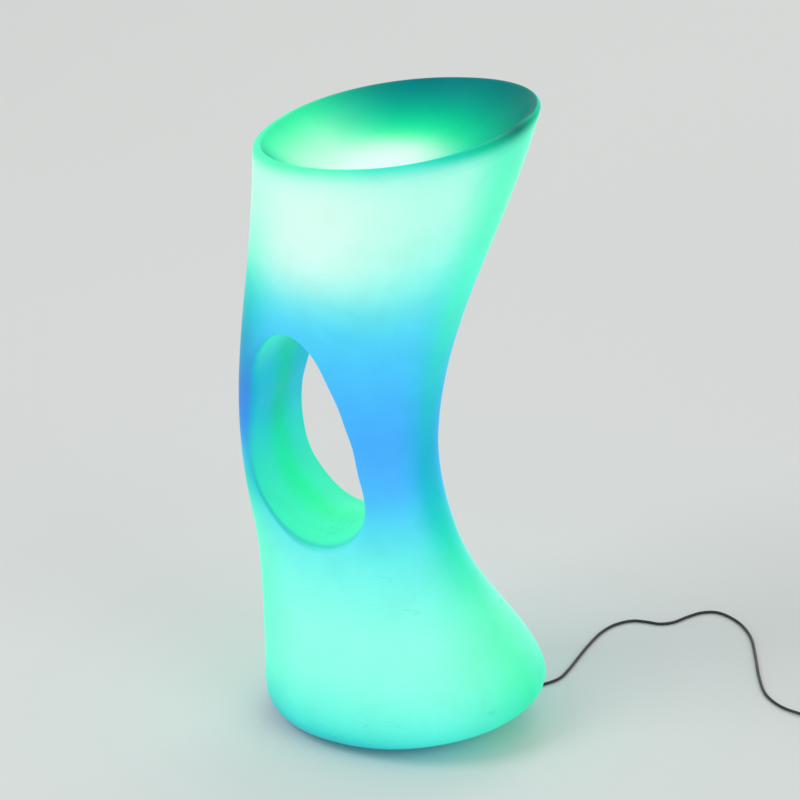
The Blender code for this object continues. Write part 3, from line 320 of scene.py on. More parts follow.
@dataclass(frozen=True)
class Finishes:
    """Every finish on the stool, by what it is made of."""

    # Translucent polyethylene, lit from inside
    body: GlowingPolyethylene = GlowingPolyethylene()
    # Compression-moulded rubber: matt, dusty black
    rubber: Finish = Finish("moulded_rubber", "#1b1b1c", 0.78, 0.5, 0.03, 0.10)
    # Die-cut silicone: smooth, soft sheen
    silicone: Finish = Finish("silicone_sheet", "#8d8e90", 0.5, 0.8, 0.01, 0.05)
    # Turned brass: warm, with fine rings from the tool
    brass: Finish = Finish("turned_brass", "#d9b36a", 0.3, 0.5, 0.02, 0.06, 1.0, Grain.ROUND_Z)
    # Zinc plating: bright, slightly cloudy
    steel: Finish = Finish("zinc_plated_steel", "#c9c9c6", 0.3, 0.5, 0.015, 0.06, 1.0, Grain.ROUND_Z)
    # Nickel plating: bright and smooth
    nickel: Finish = Finish("nickel_plate", "#cfcdc8", 0.16, 0.5, 0.005, 0.03, 1.0)
    # Injection-moulded ABS with a spark-eroded texture
    white_abs: Finish = Finish("white_abs", "#e8e8e4", 0.46, 0.5, 0.02, 0.025)
    black_abs: Finish = Finish("black_abs", "#232325", 0.48, 0.5, 0.025, 0.08)
    # Soft vinyl over the plugs, and the smooth drawn sheath of the lead
    vinyl: Finish = Finish("moulded_vinyl", "#1f1f21", 0.42, 0.6, 0.012, 0.08)
    sheath: Finish = Finish("vinyl_sheath", "#1c1c1f", 0.40, 0.7, 0.010, 0.10)
    # Woven nylon tie
    webbing: Finish = Finish("nylon_webbing", "#202124", 0.85, 0.5, 0.12, 0.2)
    # Heat-shrink sleeve: glossy film
    sleeve: Finish = Finish("heat_shrink_sleeve", "#2f62b4", 0.22, 2.5, 0.02, 0.05)
    # Solder masks: lacquer over the boards, green or white
    solder_mask: Finish = Finish("green_solder_mask", "#145c33", 0.35, 0.9, 0.02, 0.18, patch_mm=2.2)
    white_mask: Finish = Finish("white_solder_mask", "#eeeeea", 0.35, 0.9, 0.01, 0.03)
    # Anodised aluminium, drawn lengthwise
    aluminium: Finish = Finish("anodised_aluminium", "#c3c5c8", 0.32, 0.5, 0.02, 0.04, 1.0, Grain.ALONG_Z)
    # Milky covers that spread the light, and the lamps behind them
    opal: LitFinish = LitFinish("opal_polycarbonate", "#c9f4ea", 0.4, 1.2, 0.01, 0.02, strength=0.6)
    diode: LitFinish = LitFinish("lit_diode", "#b8fff0", 0.25, 0.5, 0.005, 0.02, strength=3.0)
    # Clear light pipe
    clear: ClearFinish = ClearFinish("clear_polycarbonate", "#d7ecec", 0.08, 1.5, 0.004, 0.02)


class Palette:
    """The finished materials, each built once."""

    def __init__(self, finishes: Finishes) -> None:
        """Start with nothing built.

        Args:
            finishes: The finishes that may be asked for.
        """
        self.finishes = finishes
        self.built: dict[str, Material] = {}

    def get(self, name: str) -> Material:
        """The material of one finish, by its field name.

        Args:
            name: The finish's field name.

        Returns:
            The material.
        """
        if name not in self.built:
            self.built[name] = getattr(self.finishes, name).material()
        return self.built[name]


# Building blocks


def smoothed(mesh: bpy.types.Mesh, sharp_degrees: float = 35) -> None:
    """Shade a mesh smooth but for the edges that turn more than an angle."""
    mesh.shade_smooth()
    mesh.set_sharp_from_angle(angle=math.radians(sharp_degrees))


def piece(name: str, bm: BMesh, material: Material, sharp_degrees: float = 35) -> Any:
    """Turn a mesh in progress into a shaded object at the origin.

    Args:
        name: The piece's name.
        bm: Its mesh, which is used up.
        material: Its finish.
        sharp_degrees: Edges that turn more than this stay sharp.

    Returns:
        The object.
    """
    mesh = bpy.data.meshes.new(name)
    bm.to_mesh(mesh)
    bm.free()
    smoothed(mesh, sharp_degrees)
    mesh.materials.append(material)
    thing = bpy.data.objects.new(name, mesh)
    bpy.context.scene.collection.objects.link(thing)
    return thing


def settled(thing: Any) -> Any:
    """Apply an object's modifiers to its mesh.

    Args:
        thing: The object.

    Returns:
        The same object, without its modifiers.
    """
    graph = bpy.context.evaluated_depsgraph_get()
    mesh = bpy.data.meshes.new_from_object(thing.evaluated_get(graph), preserve_all_data_layers=True, depsgraph=graph)
    thing.modifiers.clear()
    old, thing.data = thing.data, mesh
    mesh.name = old.name
    bpy.data.meshes.remove(old)
    return thing


def turned(outline: Outline, steps: int = 64) -> BMesh:
    """A shape turned about Z.

    Args:
        outline: (radius, height) around the section.
        steps: How many sides it has.

    Returns:
        The mesh, its faces pointing out.
    """
    bm = bmesh.new()
    verts = [bm.verts.new((radius, 0, height)) for radius, height in outline]
    pairs = list(zip(verts, verts[1:]))
    if outline[0][0] > 0 or outline[-1][0] > 0:
        pairs.append((verts[-1], verts[0]))
    edges = [bm.edges.new(pair) for pair in pairs]
    bmesh.ops.spin(
        bm, geom=verts + edges, cent=(0, 0, 0), axis=(0, 0, 1), angle=math.tau, steps=steps, use_merge=True
    )
    bmesh.ops.remove_doubles(bm, verts=bm.verts, dist=1e-6)
    bmesh.ops.recalc_face_normals(bm, faces=bm.faces)
    return bm


def rounded(outline: Outline, radii: Sequence[float], segments: int = 4) -> list[tuple[float, float]]:
    """Round the corners of a section.

    Args:
        outline: (radius, height) at each corner.
        radii: The rounding at each corner, 0 where it stays sharp.
        segments: Points along each rounding.

    Returns:
        The outline with its roundings.
    """
    points: list[tuple[float, float]] = []
    count = len(outline)
    for i, (corner, size) in enumerate(zip(outline, radii)):
        here = Vector(corner)
        if not size:
            points.append(tuple(here))
            continue
        before = (Vector(outline[i - 1]) - here).normalized() * size
        after = (Vector(outline[(i + 1) % count]) - here).normalized() * size
        for k in range(segments + 1):
            t = k / segments
            points.append(tuple(here + before * (1 - t) ** 2 + after * t**2))
    return points


def moved(bm: BMesh, at: Point, turn: Matrix | None = None) -> BMesh:
    """Turn a mesh about the origin and then move it.

    Args:
        bm: The mesh.
        at: How far it moves.
        turn: How it turns first, if it does.

    Returns:
        The same mesh.
    """
    if turn is not None:
        bmesh.ops.transform(bm, matrix=turn, verts=bm.verts)
    bmesh.ops.translate(bm, vec=at, verts=bm.verts)
    return bm


def slab(size: Point, edge: float, segments: int = 4) -> BMesh:
    """A block about the origin with rounded edges.

    Args:
        size: Its size along each axis.
        edge: Size of the rounding.
        segments: Faces across the rounding.

    Returns:
        The mesh.
    """
    bm = bmesh.new()
    bmesh.ops.create_cube(bm, size=1.0)
    bmesh.ops.scale(bm, vec=size, verts=bm.verts)
    bmesh.ops.bevel(
        bm, geom=bm.edges[:], offset=edge, segments=segments, affect="EDGES", profile=0.5, material=-1
    )
    return bm


def joined(parts: Iterable[BMesh]) -> BMesh:
    """Put several meshes into one, each as it lies.

    Args:
        parts: The meshes, which are used up.

    Returns:
        The whole.
    """
    whole = bmesh.new()
    for part in parts:
        mesh = bpy.data.meshes.new("part")
        part.to_mesh(mesh)
        part.free()
        whole.from_mesh(mesh)
        bpy.data.meshes.remove(mesh)
    return whole


def shaped(thing: Any, tools: Iterable[BMesh], operation: str = "DIFFERENCE") -> Any:
    """Cut tools out of an object, or join them on.

    Args:
        thing: The object that is shaped.
        tools: Meshes that don't meet each other.
        operation: DIFFERENCE or UNION.

    Returns:
        The shaped object.
    """
    mesh = bpy.data.meshes.new("tool")
    bm = joined(tools)
    bm.to_mesh(mesh)
    bm.free()
    tool = bpy.data.objects.new("tool", mesh)
    bpy.context.scene.collection.objects.link(tool)
    cut = thing.modifiers.new("cut", "BOOLEAN")
    cut.operation, cut.solver, cut.object = operation, "EXACT", tool
    settled(thing)
    bpy.data.objects.remove(tool)
    bpy.data.meshes.remove(mesh)
    return thing


def oblong(inner: float, outer: float, low: float, high: float) -> Outline:
    """A section with four corners."""
    return (inner, low), (outer, low), (outer, high), (inner, high)


def rod(radius: float, low: float, high: float, x: float, y: float, sides: int = 48) -> BMesh:
    """An upright rod between two heights."""
    return moved(turned(oblong(0, radius, low, high), sides), (x, y, 0))


def mount(thing: Any, nodes: Sequence[str] = (), body: str = ROOT) -> Any:
    """Give a finished piece its place on the stool.

    Args:
        thing: The piece.
        nodes: The frame's nodes that it stands for.
        body: The body that it moves with.

    Returns:
        The piece.
    """
    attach(thing, body)
    if nodes:
        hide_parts(*nodes)
    return thing


def corners_of(node: str) -> tuple[Vector, Vector]:
    """The lowest and the highest corner of a node's box."""
    low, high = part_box(node)
    return Vector(low), Vector(high)


def middle_of(node: str) -> Vector:
    """The middle of a node's box."""
    low, high = corners_of(node)
    return (low + high) / 2


def upright(node: str) -> tuple[float, float, float, float, float]:
    """Lowest and highest point of an upright round node, x and y of its axis, and its radius."""
    low, high = corners_of(node)
    return low.z, high.z, *middle_of(node).xy, (high.x - low.x) / 2


def hollow(node: str, inner: float, radii: Sequence[float], segments: int = 4, sides: int = 64) -> BMesh:
    """A ring or tube that fills an upright round node.

    Args:
        node: The frame's node.
        inner: Radius of its bore.
        radii: The rounding of its four corners, from the lower inner one outwards and up.
        segments: Points along each rounding.
        sides: How many sides it has.

    Returns:
        The mesh.
    """
    low, high, x, y, outer = upright(node)
    return moved(turned(rounded(oblong(inner, outer, low, high), radii, segments), sides), (x, y, 0))


def dress(node: str, material: Material) -> None:
    """Give one of the frame's own nodes its finish.

    Args:
        node: The node.
        material: Its finish.
    """
    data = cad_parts[node].data
    data.materials.clear()
    data.materials.append(material)


# The moulded body


@dataclass(frozen=True)
class Ramp:
    """Colours along a measure, such as a height in metres or a direction in degrees."""

    stops: tuple[tuple[float, str], ...]
    blur: float
    period: float = 0.0
    fineness: int = 1200

    @cached_property
    def table(self) -> tuple[np.ndarray, np.ndarray]:
        """The ramp as a table, softened by its blur.

        Returns:
            The places in order, and red, green and blue for each.
        """
        places = np.array([place for place, _ in self.stops])
        colours = np.array([[int(c[i : i + 2], 16) / 255 for i in (1, 3, 5)] for _, c in self.stops])
        if self.period:
            places = np.concatenate([places + turn * self.period for turn in (-1, 0, 1)])
            colours = np.vstack([colours] * 3)
        reach = 3 * self.blur
        grid = np.linspace(places[0] - reach, places[-1] + reach, self.fineness)
        raw = np.stack([np.interp(grid, places, colours[:, k]) for k in range(3)], axis=1)
        step = grid[1] - grid[0]
        offsets = np.arange(-round(reach / step), round(reach / step) + 1)
        kernel = np.exp(-((offsets * step / self.blur) ** 2) / 2)
        kernel /= kernel.sum()
        wide = np.pad(raw, ((len(offsets) // 2, len(offsets) // 2), (0, 0)), mode="edge")
        return grid, np.stack([np.convolve(wide[:, k], kernel, mode="valid") for k in range(3)], axis=1)

    def at(self, values: np.ndarray) -> np.ndarray:
        """Colours at many places, as sRGB shares."""
        grid, colours = self.table
        return np.stack([np.interp(values, grid, colours[:, k]) for k in range(3)], axis=1)


def ease(values: np.ndarray, start: float | np.ndarray, end: float | np.ndarray) -> np.ndarray:
    """A soft step from 0 at start to 1 at end."""
    t = np.clip((values - start) / (end - start), 0, 1)
    return t * t * (3 - 2 * t)


def mixed(first: np.ndarray, second: np.ndarray, share: np.ndarray) -> np.ndarray:
    """Colours between two sets, with the second set's share for each point."""
    return first + (second - first) * share[:, None]


@dataclass(frozen=True)
class Glow:
    """How the light from inside colours the skin.

    The lamps in the base and in the head of the mast make both ends bright. Between them the light is bluer. The back
    is greener, and towards the back and the front the wall is painted darker as shade where it turns away. Ramps of
    the walls run over the height, those of the opening run round it from +Y towards +Z, and those of the seat run from
    its middle to its rim.
    """

    # fmt: off
    side: Ramp = Ramp(
        (
            (0.006, "#1894ac"), (0.016, "#28c0c4"), (0.030, "#48e8d8"), (0.055, "#6cf8e2"), (0.092, "#8affe6"),
            (0.140, "#90ffe8"), (0.185, "#7cfaea"), (0.225, "#68eeec"), (0.250, "#58e0f0"), (0.275, "#50d0f8"),
            (0.305, "#4cb8ff"), (0.360, "#48b0ff"), (0.400, "#48b4ff"), (0.470, "#4cc8fc"), (0.512, "#50d4f8"),
            (0.534, "#5ce0f0"), (0.562, "#6cf0ec"), (0.596, "#86fcea"), (0.638, "#9cfee8"), (0.680, "#a8fee8"),
            (0.735, "#a4fee8"),
        ),
        0.01,
    )
    # Towards the back: greener light, and painted shade where the wall turns away at the edge
    back: Ramp = Ramp(
        (
            (0.006, "#108878"), (0.018, "#1cc09c"), (0.034, "#28e8a8"), (0.070, "#48f8b4"), (0.110, "#60fcbc"),
            (0.155, "#60fcc0"), (0.205, "#38f0bc"), (0.250, "#20d8c8"), (0.300, "#18bcd4"), (0.345, "#18b4d4"),
            (0.390, "#1cc0d4"), (0.450, "#28d4d4"), (0.510, "#40eccc"), (0.570, "#50f8d0"), (0.650, "#60fcc8"),
            (0.745, "#5cf8c8"),
        ),
        0.014,
    )
    # Towards the front: bluer light, and painted shade where the wall turns away at the edge
    front: Ramp = Ramp(
        (
            (0.006, "#107898"), (0.018, "#20a8bc"), (0.030, "#44dcd0"), (0.052, "#58f0d0"), (0.080, "#74fcd8"),
            (0.190, "#74fcd8"), (0.245, "#5cf0d4"), (0.280, "#24d4c4"), (0.306, "#38c8e4"), (0.328, "#3ca8e8"),
            (0.360, "#3c90e4"), (0.400, "#3c8cd4"), (0.440, "#309ccc"), (0.470, "#28accc"), (0.504, "#20c4cc"),
            (0.542, "#3ce0cc"), (0.579, "#88fcd8"), (0.650, "#b8fee4"), (0.725, "#b8fee8"),
        ),
        0.01,
    )
    lamp_spot: Ramp = Ramp(((-90, "#f0fff6"), (90, "#e8fff6")), 5)
    # Colours of the painted shade along the opening's rounded edge
    edge: Ramp = Ramp(
        (
            (-150, "#38c8d0"), (-115, "#24b8b4"), (-85, "#24bcb0"), (-60, "#44a8e8"), (-20, "#4c98f8"),
            (30, "#48a4fc"), (70, "#44b4f0"), (105, "#38b4dc"), (140, "#3c90e0"), (185, "#4090e8"),
        ),
        9,
        360,
    )
    mouth: Ramp = Ramp(
        (
            (-150, "#30d8c8"), (-110, "#40f0bc"), (-80, "#4cf8bc"), (-50, "#48f0c4"), (0, "#34bcdc"),
            (50, "#34bcdc"), (80, "#30d8c8"), (105, "#34e8c4"), (140, "#20bcd4"), (180, "#24c0d4"),
        ),
        10,
        360,
    )
    deep: Ramp = Ramp(
        (
            (-150, "#18dca8"), (-115, "#2cf4a4"), (-80, "#44f8b0"), (-40, "#34e4c4"), (0, "#28acd0"),
            (60, "#24c0cc"), (100, "#18d8b0"), (140, "#10c8b0"), (180, "#10c4a8"),
        ),
        10,
        360,
    )
    dish_front: Ramp = Ramp(
        (
            (0.0, "#e4fff6"), (0.36, "#d8fff0"), (0.52, "#c0ffe0"), (0.68, "#a8ffd4"), (0.82, "#80ffc0"),
            (0.93, "#4cfab0"), (1.0, "#2ceca4"),
        ),
        0.03,
    )
    dish_side: Ramp = Ramp(
        (
            (0.0, "#e4fff6"), (0.38, "#dcfff2"), (0.50, "#ccffe8"), (0.60, "#7cfec0"), (0.68, "#28eea0"),
            (0.80, "#04c694"), (0.90, "#049e8c"), (1.0, "#04787c"),
        ),
        0.03,
    )
    dish_back: Ramp = Ramp(
        (
            (0.0, "#e0fff4"), (0.28, "#c0ffe0"), (0.38, "#80ffc4"), (0.46, "#30f0a4"), (0.56, "#08d094"),
            (0.70, "#00b48c"), (0.85, "#00947c"), (1.0, "#00746c"),
        ),
        0.03,
    )
    rim: Ramp = Ramp(
        (
            (-90, "#48f4bc"), (-13, "#58f8bc"), (6, "#5cf8c4"), (23, "#44eccc"), (39, "#3ce4cc"),
            (51, "#1cd4b8"), (65, "#08c89c"), (75, "#04b48c"), (84, "#048c74"), (92, "#066860"),
        ),
        4,
    )

    # fmt: on
    lamp_height: float = 0.635
    lamp_up: float = 0.110
    lamp_down: float = 0.077
    lamp_power: float = 3
    lamp_bearing: float = -4
    lamp_spread: float = 48
    lamp_share: float = 0.72
    # Spans over which one ramp fades into the next, in metres or degrees, some with what the low part adds
    low_span: tuple[float, float] = (-0.28, -0.14)
    back_start: tuple[float, float] = (56, -22)
    back_end: tuple[float, float] = (86, 20)
    front_span: tuple[float, float] = (18, 50)
    seat_back_span: tuple[float, float] = (-10, 60)
    seat_front_span: tuple[float, float] = (14, 74)
    # The darker band of painted shade where the wall rolls into the opening: a level, what the strip in front adds
    # and what the sill adds
    strip_direction: float = 178
    sill_direction: float = -100
    direction_spread: float = 48
    band_line: Point = (0.09, 0.47, 0.11)
    band_width: Point = (0.11, 0.49, -0.02)
    band_share: Point = (0.30, 0.65, 0.50)
    band_most: float = 0.9
    lip_start: Point = (-0.45, 0.0, 0.17)
    lip_end: Point = (0.10, 0.0, -0.18)
    mouth_span: tuple[float, float] = (0.0, 0.3)
    deep_span: tuple[float, float] = (0.50, 1.0)
    # The rim's colour: how far down it fades and how sharply, with what the back adds
    rim_back_span: tuple[float, float] = (40, 80)
    rim_fade: tuple[float, float] = (0.009, 0.004)
    rim_power: tuple[float, float] = (1.2, 0.8)
    rim_span: tuple[float, float] = (0.4, 0.6)
    # The seat's colour starts earlier on the rim's far side
    far_span: tuple[float, float] = (0.0, 0.06)
    seat_start: tuple[float, float] = (0.7, -0.28)
    seat_end: tuple[float, float] = (1.0, -0.42)
    # Painted shade on the underside by the floor: how high it reaches and how dark it is
    under_height: float = 0.006
    under_shade: float = 0.75

    def walls(self, height: np.ndarray, angle: np.ndarray) -> np.ndarray:
        """Colours of the outer walls.

        Args:
            height: Height of each point.
            angle: Direction of each point round the body in degrees: -90 front, 0 side, 90 back.

        Returns:
            sRGB shares.
        """
        low = ease(-height, *self.low_span)
        start, end = (level + by_low * low for level, by_low in (self.back_start, self.back_end))
        # The back and front ramps carry painted shade at the body's edges
        colours = mixed(self.side.at(height), self.back.at(height), ease(angle, start, end))
        above = height > self.lamp_height
        from_lamp = np.abs(height - self.lamp_height) / np.where(above, self.lamp_up, self.lamp_down)
        beside = (angle - self.lamp_bearing) / self.lamp_spread
        near_lamp = np.exp(-(from_lamp**self.lamp_power) - beside**2)
        colours = mixed(colours, self.lamp_spot.at(angle), near_lamp * self.lamp_share)
        return mixed(colours, self.front.at(height), ease(-angle, *self.front_span))

    def seat(self, share: np.ndarray, angle: np.ndarray) -> np.ndarray:
        """Colours of the seat dish.

        Args:
            share: 0 in the middle of the light and 1 at the rim.
            angle: Direction from the middle in degrees: -90 front, 0 side, 90 back.

        Returns:
            sRGB shares.
        """
        colours = mixed(self.dish_side.at(share), self.dish_back.at(share), ease(angle, *self.seat_back_span))
        return mixed(colours, self.dish_front.at(share), ease(-angle, *self.seat_front_span))


@dataclass(frozen=True)
class Profile:
    """A half outline of the body: reach from the middle plane against height.

    Each knot is (height, reach, lean), and each span has the lengths of its two handles as shares of the span.
    """

    knots: tuple[tuple[float, float, float], ...]
    handle_shares: tuple[tuple[float, float], ...]
    steps: int = 60

    @cached_property
    def curve(self) -> np.ndarray:
        """Points (height, reach) along all the spans."""
        runs = [self.span(*pair) for pair in zip(self.knots, self.knots[1:], self.handle_shares)]
        return np.vstack(runs)

    def span(self, start: Sequence[float], end: Sequence[float], shares: Sequence[float]) -> np.ndarray:
        """Points of one cubic span.

        Args:
            start: The lower knot.
            end: The upper knot.
            shares: The handles at the two knots, as shares of the span's height.

        Returns:
            Rows of (height, reach).
        """
        height = end[0] - start[0]
        low, high = shares[0] * height, shares[1] * height
        poles = np.array(
            (
                start[:2],
                (start[0] + low, start[1] + start[2] * low),
                (end[0] - high, end[1] - end[2] * high),
                end[:2],
            )
        )
        t = np.linspace(0, 1, self.steps)[:, None]
        return (
            (1 - t) ** 3 * poles[0]
            + 3 * (1 - t) ** 2 * t * poles[1]
            + 3 * (1 - t) * t**2 * poles[2]
            + t**3 * poles[3]
        )

    def reach(self, height: float) -> float:
        """Reach at one height."""
        return float(np.interp(height, self.curve[:, 0], self.curve[:, 1]))


@dataclass(frozen=True)
class HandOpening:
    """The opening that goes through the body from side to side.

    Its outline is a reach in twelve directions of the plane y-z, from +Y towards +Z: at each face of the body and
    in the middle, where the throat is a little tighter in front of the sill.
    """

    middle_y: float = -0.072
    middle_z: float = 0.360
    reach: float = 0.132
    face_shares: tuple[float, ...] = (
        0.471, 0.475, 0.637, 1.01, 0.81, 0.586, 0.564, 0.654, 0.845, 1.015, 0.955, 0.59,
    )  # fmt: skip
    throat_shares: tuple[float, ...] = (
        0.46, 0.465, 0.625, 0.99, 0.80, 0.575, 0.55, 0.635, 0.815, 0.965, 0.935, 0.575,
    )  # fmt: skip
    edge: float = 0.009
    sill_edge: float = 0.030
    sill_direction: float = math.radians(-78)
    sill_spread: float = math.radians(32)
    front_edge: float = 0.022
    front_direction: float = math.radians(160)
    front_spread: float = math.radians(37)

    def outline(self, shares: Sequence[float], angle: float) -> float:
        """Reach of an outline in one direction, on a smooth closed curve through its shares.

        Args:
            shares: The outline's twelve reaches, as shares.
            angle: Direction from the opening's middle, from +Y towards +Z.

        Returns:
            The reach.
        """
        place_on = angle / math.tau * len(shares)
        i, t = math.floor(place_on), place_on - math.floor(place_on)
        p0, p1, p2, p3 = (shares[(i + k) % len(shares)] for k in (-1, 0, 1, 2))
        return self.reach * (
            p1 + t / 2 * (p2 - p0 + t * (2 * p0 - 5 * p1 + 4 * p2 - p3 + t * (3 * (p1 - p2) + p3 - p0)))
        )

    def edge_size(self, angle: float) -> float:
        """Size of the rounded edge, which rolls over more at the sill and towards the front.

        Args:
            angle: Direction from the opening's middle, from +Y towards +Z.

        Returns:
            The size.
        """
        size = self.edge
        for most, direction, spread in (
            (self.sill_edge, self.sill_direction, self.sill_spread),
            (self.front_edge, self.front_direction, self.front_spread),
        ):
            off = (angle - direction + math.pi) % math.tau - math.pi
            size += (most - self.edge) * math.exp(-((off / spread) ** 2))
        return size

    def place(self, angle: float, reach: float) -> tuple[float, float]:
        """Place (y, z) at a reach from the opening's middle."""
        return self.middle_y + reach * math.cos(angle), self.middle_z + reach * math.sin(angle)


@dataclass(frozen=True)
class BodySizes:
    """Sizes of the moulded body, as the part has them, and how finely its surface is drawn."""

    wall: float = 0.0035
    foot_height: float = 0.005
    foot_round: float = 0.0355
    rim_height: float = 0.7305
    rim_slope: float = 0.1345
    rim_round: float = 0.0062
    rim_turn: float = math.radians(135)
    dish_height: float = 0.672
    dish_power: float = 3.2
    section_power: float = 2.15
    flat_power: float = 0.73
    flat_height: float = 0.340
    flat_spread: float = 0.130
    recess_radius: float = 0.084
    recess_draft: float = 0.0025
    recess_depth: float = 0.019
    aperture_radius: float = 0.060
    insert_radius: float = 0.0035
    slots: int = 144
    foot_steps: int = 12
    wall_rings: int = 68
    rim_steps: int = 14
    dish_steps: int = 26
    opening_slots: int = 29
    opening_shares: tuple[float, float] = (0.1875, 0.8125)
    opening_low: float = 0.162
    apron_steps: int = 5
    edge_steps: int = 9
    throat_steps: int = 14
    light_x: float = 0.020
    light_y: float = 0.004
    paint_levels: int = 400
    settle_rounds: int = 6
    side_limit: float = 0.999


def extruded(bm: BMesh, edges: Sequence[Any]) -> tuple[set[Any], list[Any]]:
    """Extrude a run of edges.

    Args:
        bm: The mesh.
        edges: The run.

    Returns:
        The new vertices, and the new edges between them.
    """
    made = bmesh.ops.extrude_edge_only(bm, edges=edges)["geom"]
    verts = {item for item in made if isinstance(item, bmesh.types.BMVert)}
    return verts, [g for g in made if isinstance(g, bmesh.types.BMEdge) and verts.issuperset(g.verts)]


class MouldedBody:
    """The hollow polyethylene body with its base, waist, hand opening, rolled rim and seat dish."""

    counts: tuple[str, ...] = ("slot", "ring", "spoke")
    shares: tuple[str, ...] = ("through", "rim", "dish")

    def __init__(self, sizes: BodySizes = BodySizes(), opening: HandOpening = HandOpening()) -> None:
        """Set the body's profiles up.

        Args:
            sizes: Sizes and fineness of the body.
            opening: The hand opening.
        """
        self.sizes = sizes
        self.opening = opening
        foot = sizes.foot_height
        self.front = Profile(
            ((foot, 0.1426, -0.0285), (0.349, 0.181, 0), (0.755, 0.141, -0.04)), ((0.40, 0.453), (0.407, 0.359))
        )
        self.back = Profile(
            ((foot, 0.1396, 1.25), (0.050, 0.186, 0), (0.341, 0.049, 0), (0.755, 0.164, 0.20)),
            ((0.40, 0.40), (0.142, 0.456), (0.322, 0.35)),
        )
        self.side = Profile(
            ((foot, 0.1505, 0.1), (0.041, 0.1525, 0), (0.225, 0.074, 0), (0.755, 0.180, 0.24)),
            ((0.40, 0.40), (0.369, 0.327), (0.407, 0.35)),
        )

    def section(self, height: float, inset: float = 0.0) -> tuple[float, float, float]:
        """Middle in y, half depth and half width of the level section at a height."""
        front, back, side = self.front.reach(height), self.back.reach(height), self.side.reach(height)
        return (back - front) / 2, (back + front) / 2 - inset, side - inset

    def foot_inset(self, height: float) -> float:
        """How far the rounded foot edge draws the section in."""
        left = max(self.sizes.foot_round - (height - self.sizes.foot_height), 0)
        return self.sizes.foot_round - math.sqrt(max(self.sizes.foot_round**2 - left**2, 0))

    def section_power(self, height: float) -> float:
        """Power of the section's rounded outline, whose sides are flatter where the opening is."""
        sizes = self.sizes
        return sizes.section_power + sizes.flat_power * math.exp(
            -(((height - sizes.flat_height) / sizes.flat_spread) ** 2)
        )

    def around(self, height: float, angle: float, inset: float) -> tuple[float, float]:
        """Place (x, y) on the body's section at one angle from +X.

        Args:
            height: Height of the section.
            angle: The angle.
            inset: How far the section is drawn in.

        Returns:
            The place.
        """
        middle, half_depth, half_width = self.section(height, inset)
        c, s = math.cos(angle), math.sin(angle)
        power = 2 / self.section_power(height)
        x = half_width * math.copysign(abs(c) ** power, c)
        return x, middle + half_depth * math.copysign(abs(s) ** power, s)

    def side_x(self, y: float, height: float) -> float:
        """Half width of the body at a place on its side.

        Args:
            y: Its y.
            height: Its height.

        Returns:
            The half width.
        """
        middle, half_depth, half_width = self.section(height, self.foot_inset(height))
        share = min(abs((y - middle) / half_depth), self.sizes.side_limit)
        power = self.section_power(height)
        return half_width * (1 - share**power) ** (1 / power)

    def rim_plane(self, y: float) -> float:
        """Height of the rim's crest."""
        return self.sizes.rim_height + self.sizes.rim_slope * y

    def rim_base(self, angle: float) -> float:
        """Height at which the wall turns over into the rim.

        Args:
            angle: Angle from +X.

        Returns:
            The height.
        """
        height = self.sizes.rim_height
        for _ in range(self.sizes.settle_rounds):
            height = self.rim_plane(self.around(height, angle, 0)[1]) - self.sizes.rim_round
        return height

    def angles(self) -> list[float]:
        """The directions of the ring grid."""
        return [math.tau * i / self.sizes.slots for i in range(self.sizes.slots)]

    def circle(self, radius: float, height: float) -> list[Point]:
        """A round ring."""
        return [(radius * math.cos(a), radius * math.sin(a), height) for a in self.angles()]

    def foot_ring(self, turn: float) -> list[Point]:
        """A ring on the rounded foot edge.

        Args:
            turn: 0 where it leaves the flat foot and a quarter turn at the wall.

        Returns:
            The ring's places.
        """
        sizes = self.sizes
        height = sizes.foot_height + sizes.foot_round * (1 - math.cos(turn))
        inset = sizes.foot_round * (1 - math.sin(turn))
        return [(*self.around(height, a, inset), height) for a in self.angles()]

    def wall_ring(self, share: float) -> list[Point]:
        """A ring on the wall, level at the foot and tilted as the rim at the top.

        Args:
            share: 0 at the foot and 1 at the rim.

        Returns:
            The ring's places.
        """
        low = self.sizes.foot_height + self.sizes.foot_round
        heights = [low + share * (self.rim_base(a) - low) for a in self.angles()]
        return [(*self.around(height, a, 0), height) for height, a in zip(heights, self.angles())]

    def rim_ring(self, turn: float) -> list[Point]:
        """A ring on the rolled rim.

        Args:
            turn: 0 where it leaves the wall, in radians.

        Returns:
            The ring's places.
        """
        size = self.sizes.rim_round
        inset, rise = size * (1 - math.cos(turn)), size * (math.sin(turn) - 1)
        places = [self.around(self.rim_base(a), a, inset) for a in self.angles()]
        return [(x, y, self.rim_plane(y) + rise) for x, y in places]

    def dish_ring(self, share: float) -> list[Point]:
        """A ring of the seat dish.

        Args:
            share: 1 at the rim and 0 in the middle.

        Returns:
            The ring's places.
        """
        middle, low = self.section(self.sizes.rim_height)[0], self.sizes.dish_height
        return [
            (x * share, middle + (y - middle) * share, low + (z - low) * share**self.sizes.dish_power)
            for x, y, z in self.rim_ring(self.sizes.rim_turn)
        ]

    def rings(self) -> tuple[list[list[Point]], int]:
        """Every ring of the outer surface, from the aperture over the foot and the rim into the dish.

        Returns:
            The rings, and the number of the last ring of the foot edge.
        """
        sizes = self.sizes
        roof = sizes.foot_height + sizes.recess_depth
        rings = [
            self.circle(sizes.aperture_radius, roof),
            self.circle(sizes.recess_radius, roof),
            self.circle(sizes.recess_radius + sizes.recess_draft, sizes.foot_height),
        ]
        rings += [self.foot_ring(math.pi / 2 * i / sizes.foot_steps) for i in range(sizes.foot_steps + 1)]
        first_wall = len(rings) - 1
        rings += [self.wall_ring((i + 1) / sizes.wall_rings) for i in range(sizes.wall_rings)]
        rings += [self.rim_ring(sizes.rim_turn * (i + 1) / sizes.rim_steps) for i in range(sizes.rim_steps)]
        rings += [self.dish_ring(1 - (i + 1) / (sizes.dish_steps + 1)) for i in range(sizes.dish_steps)]
        return rings, first_wall

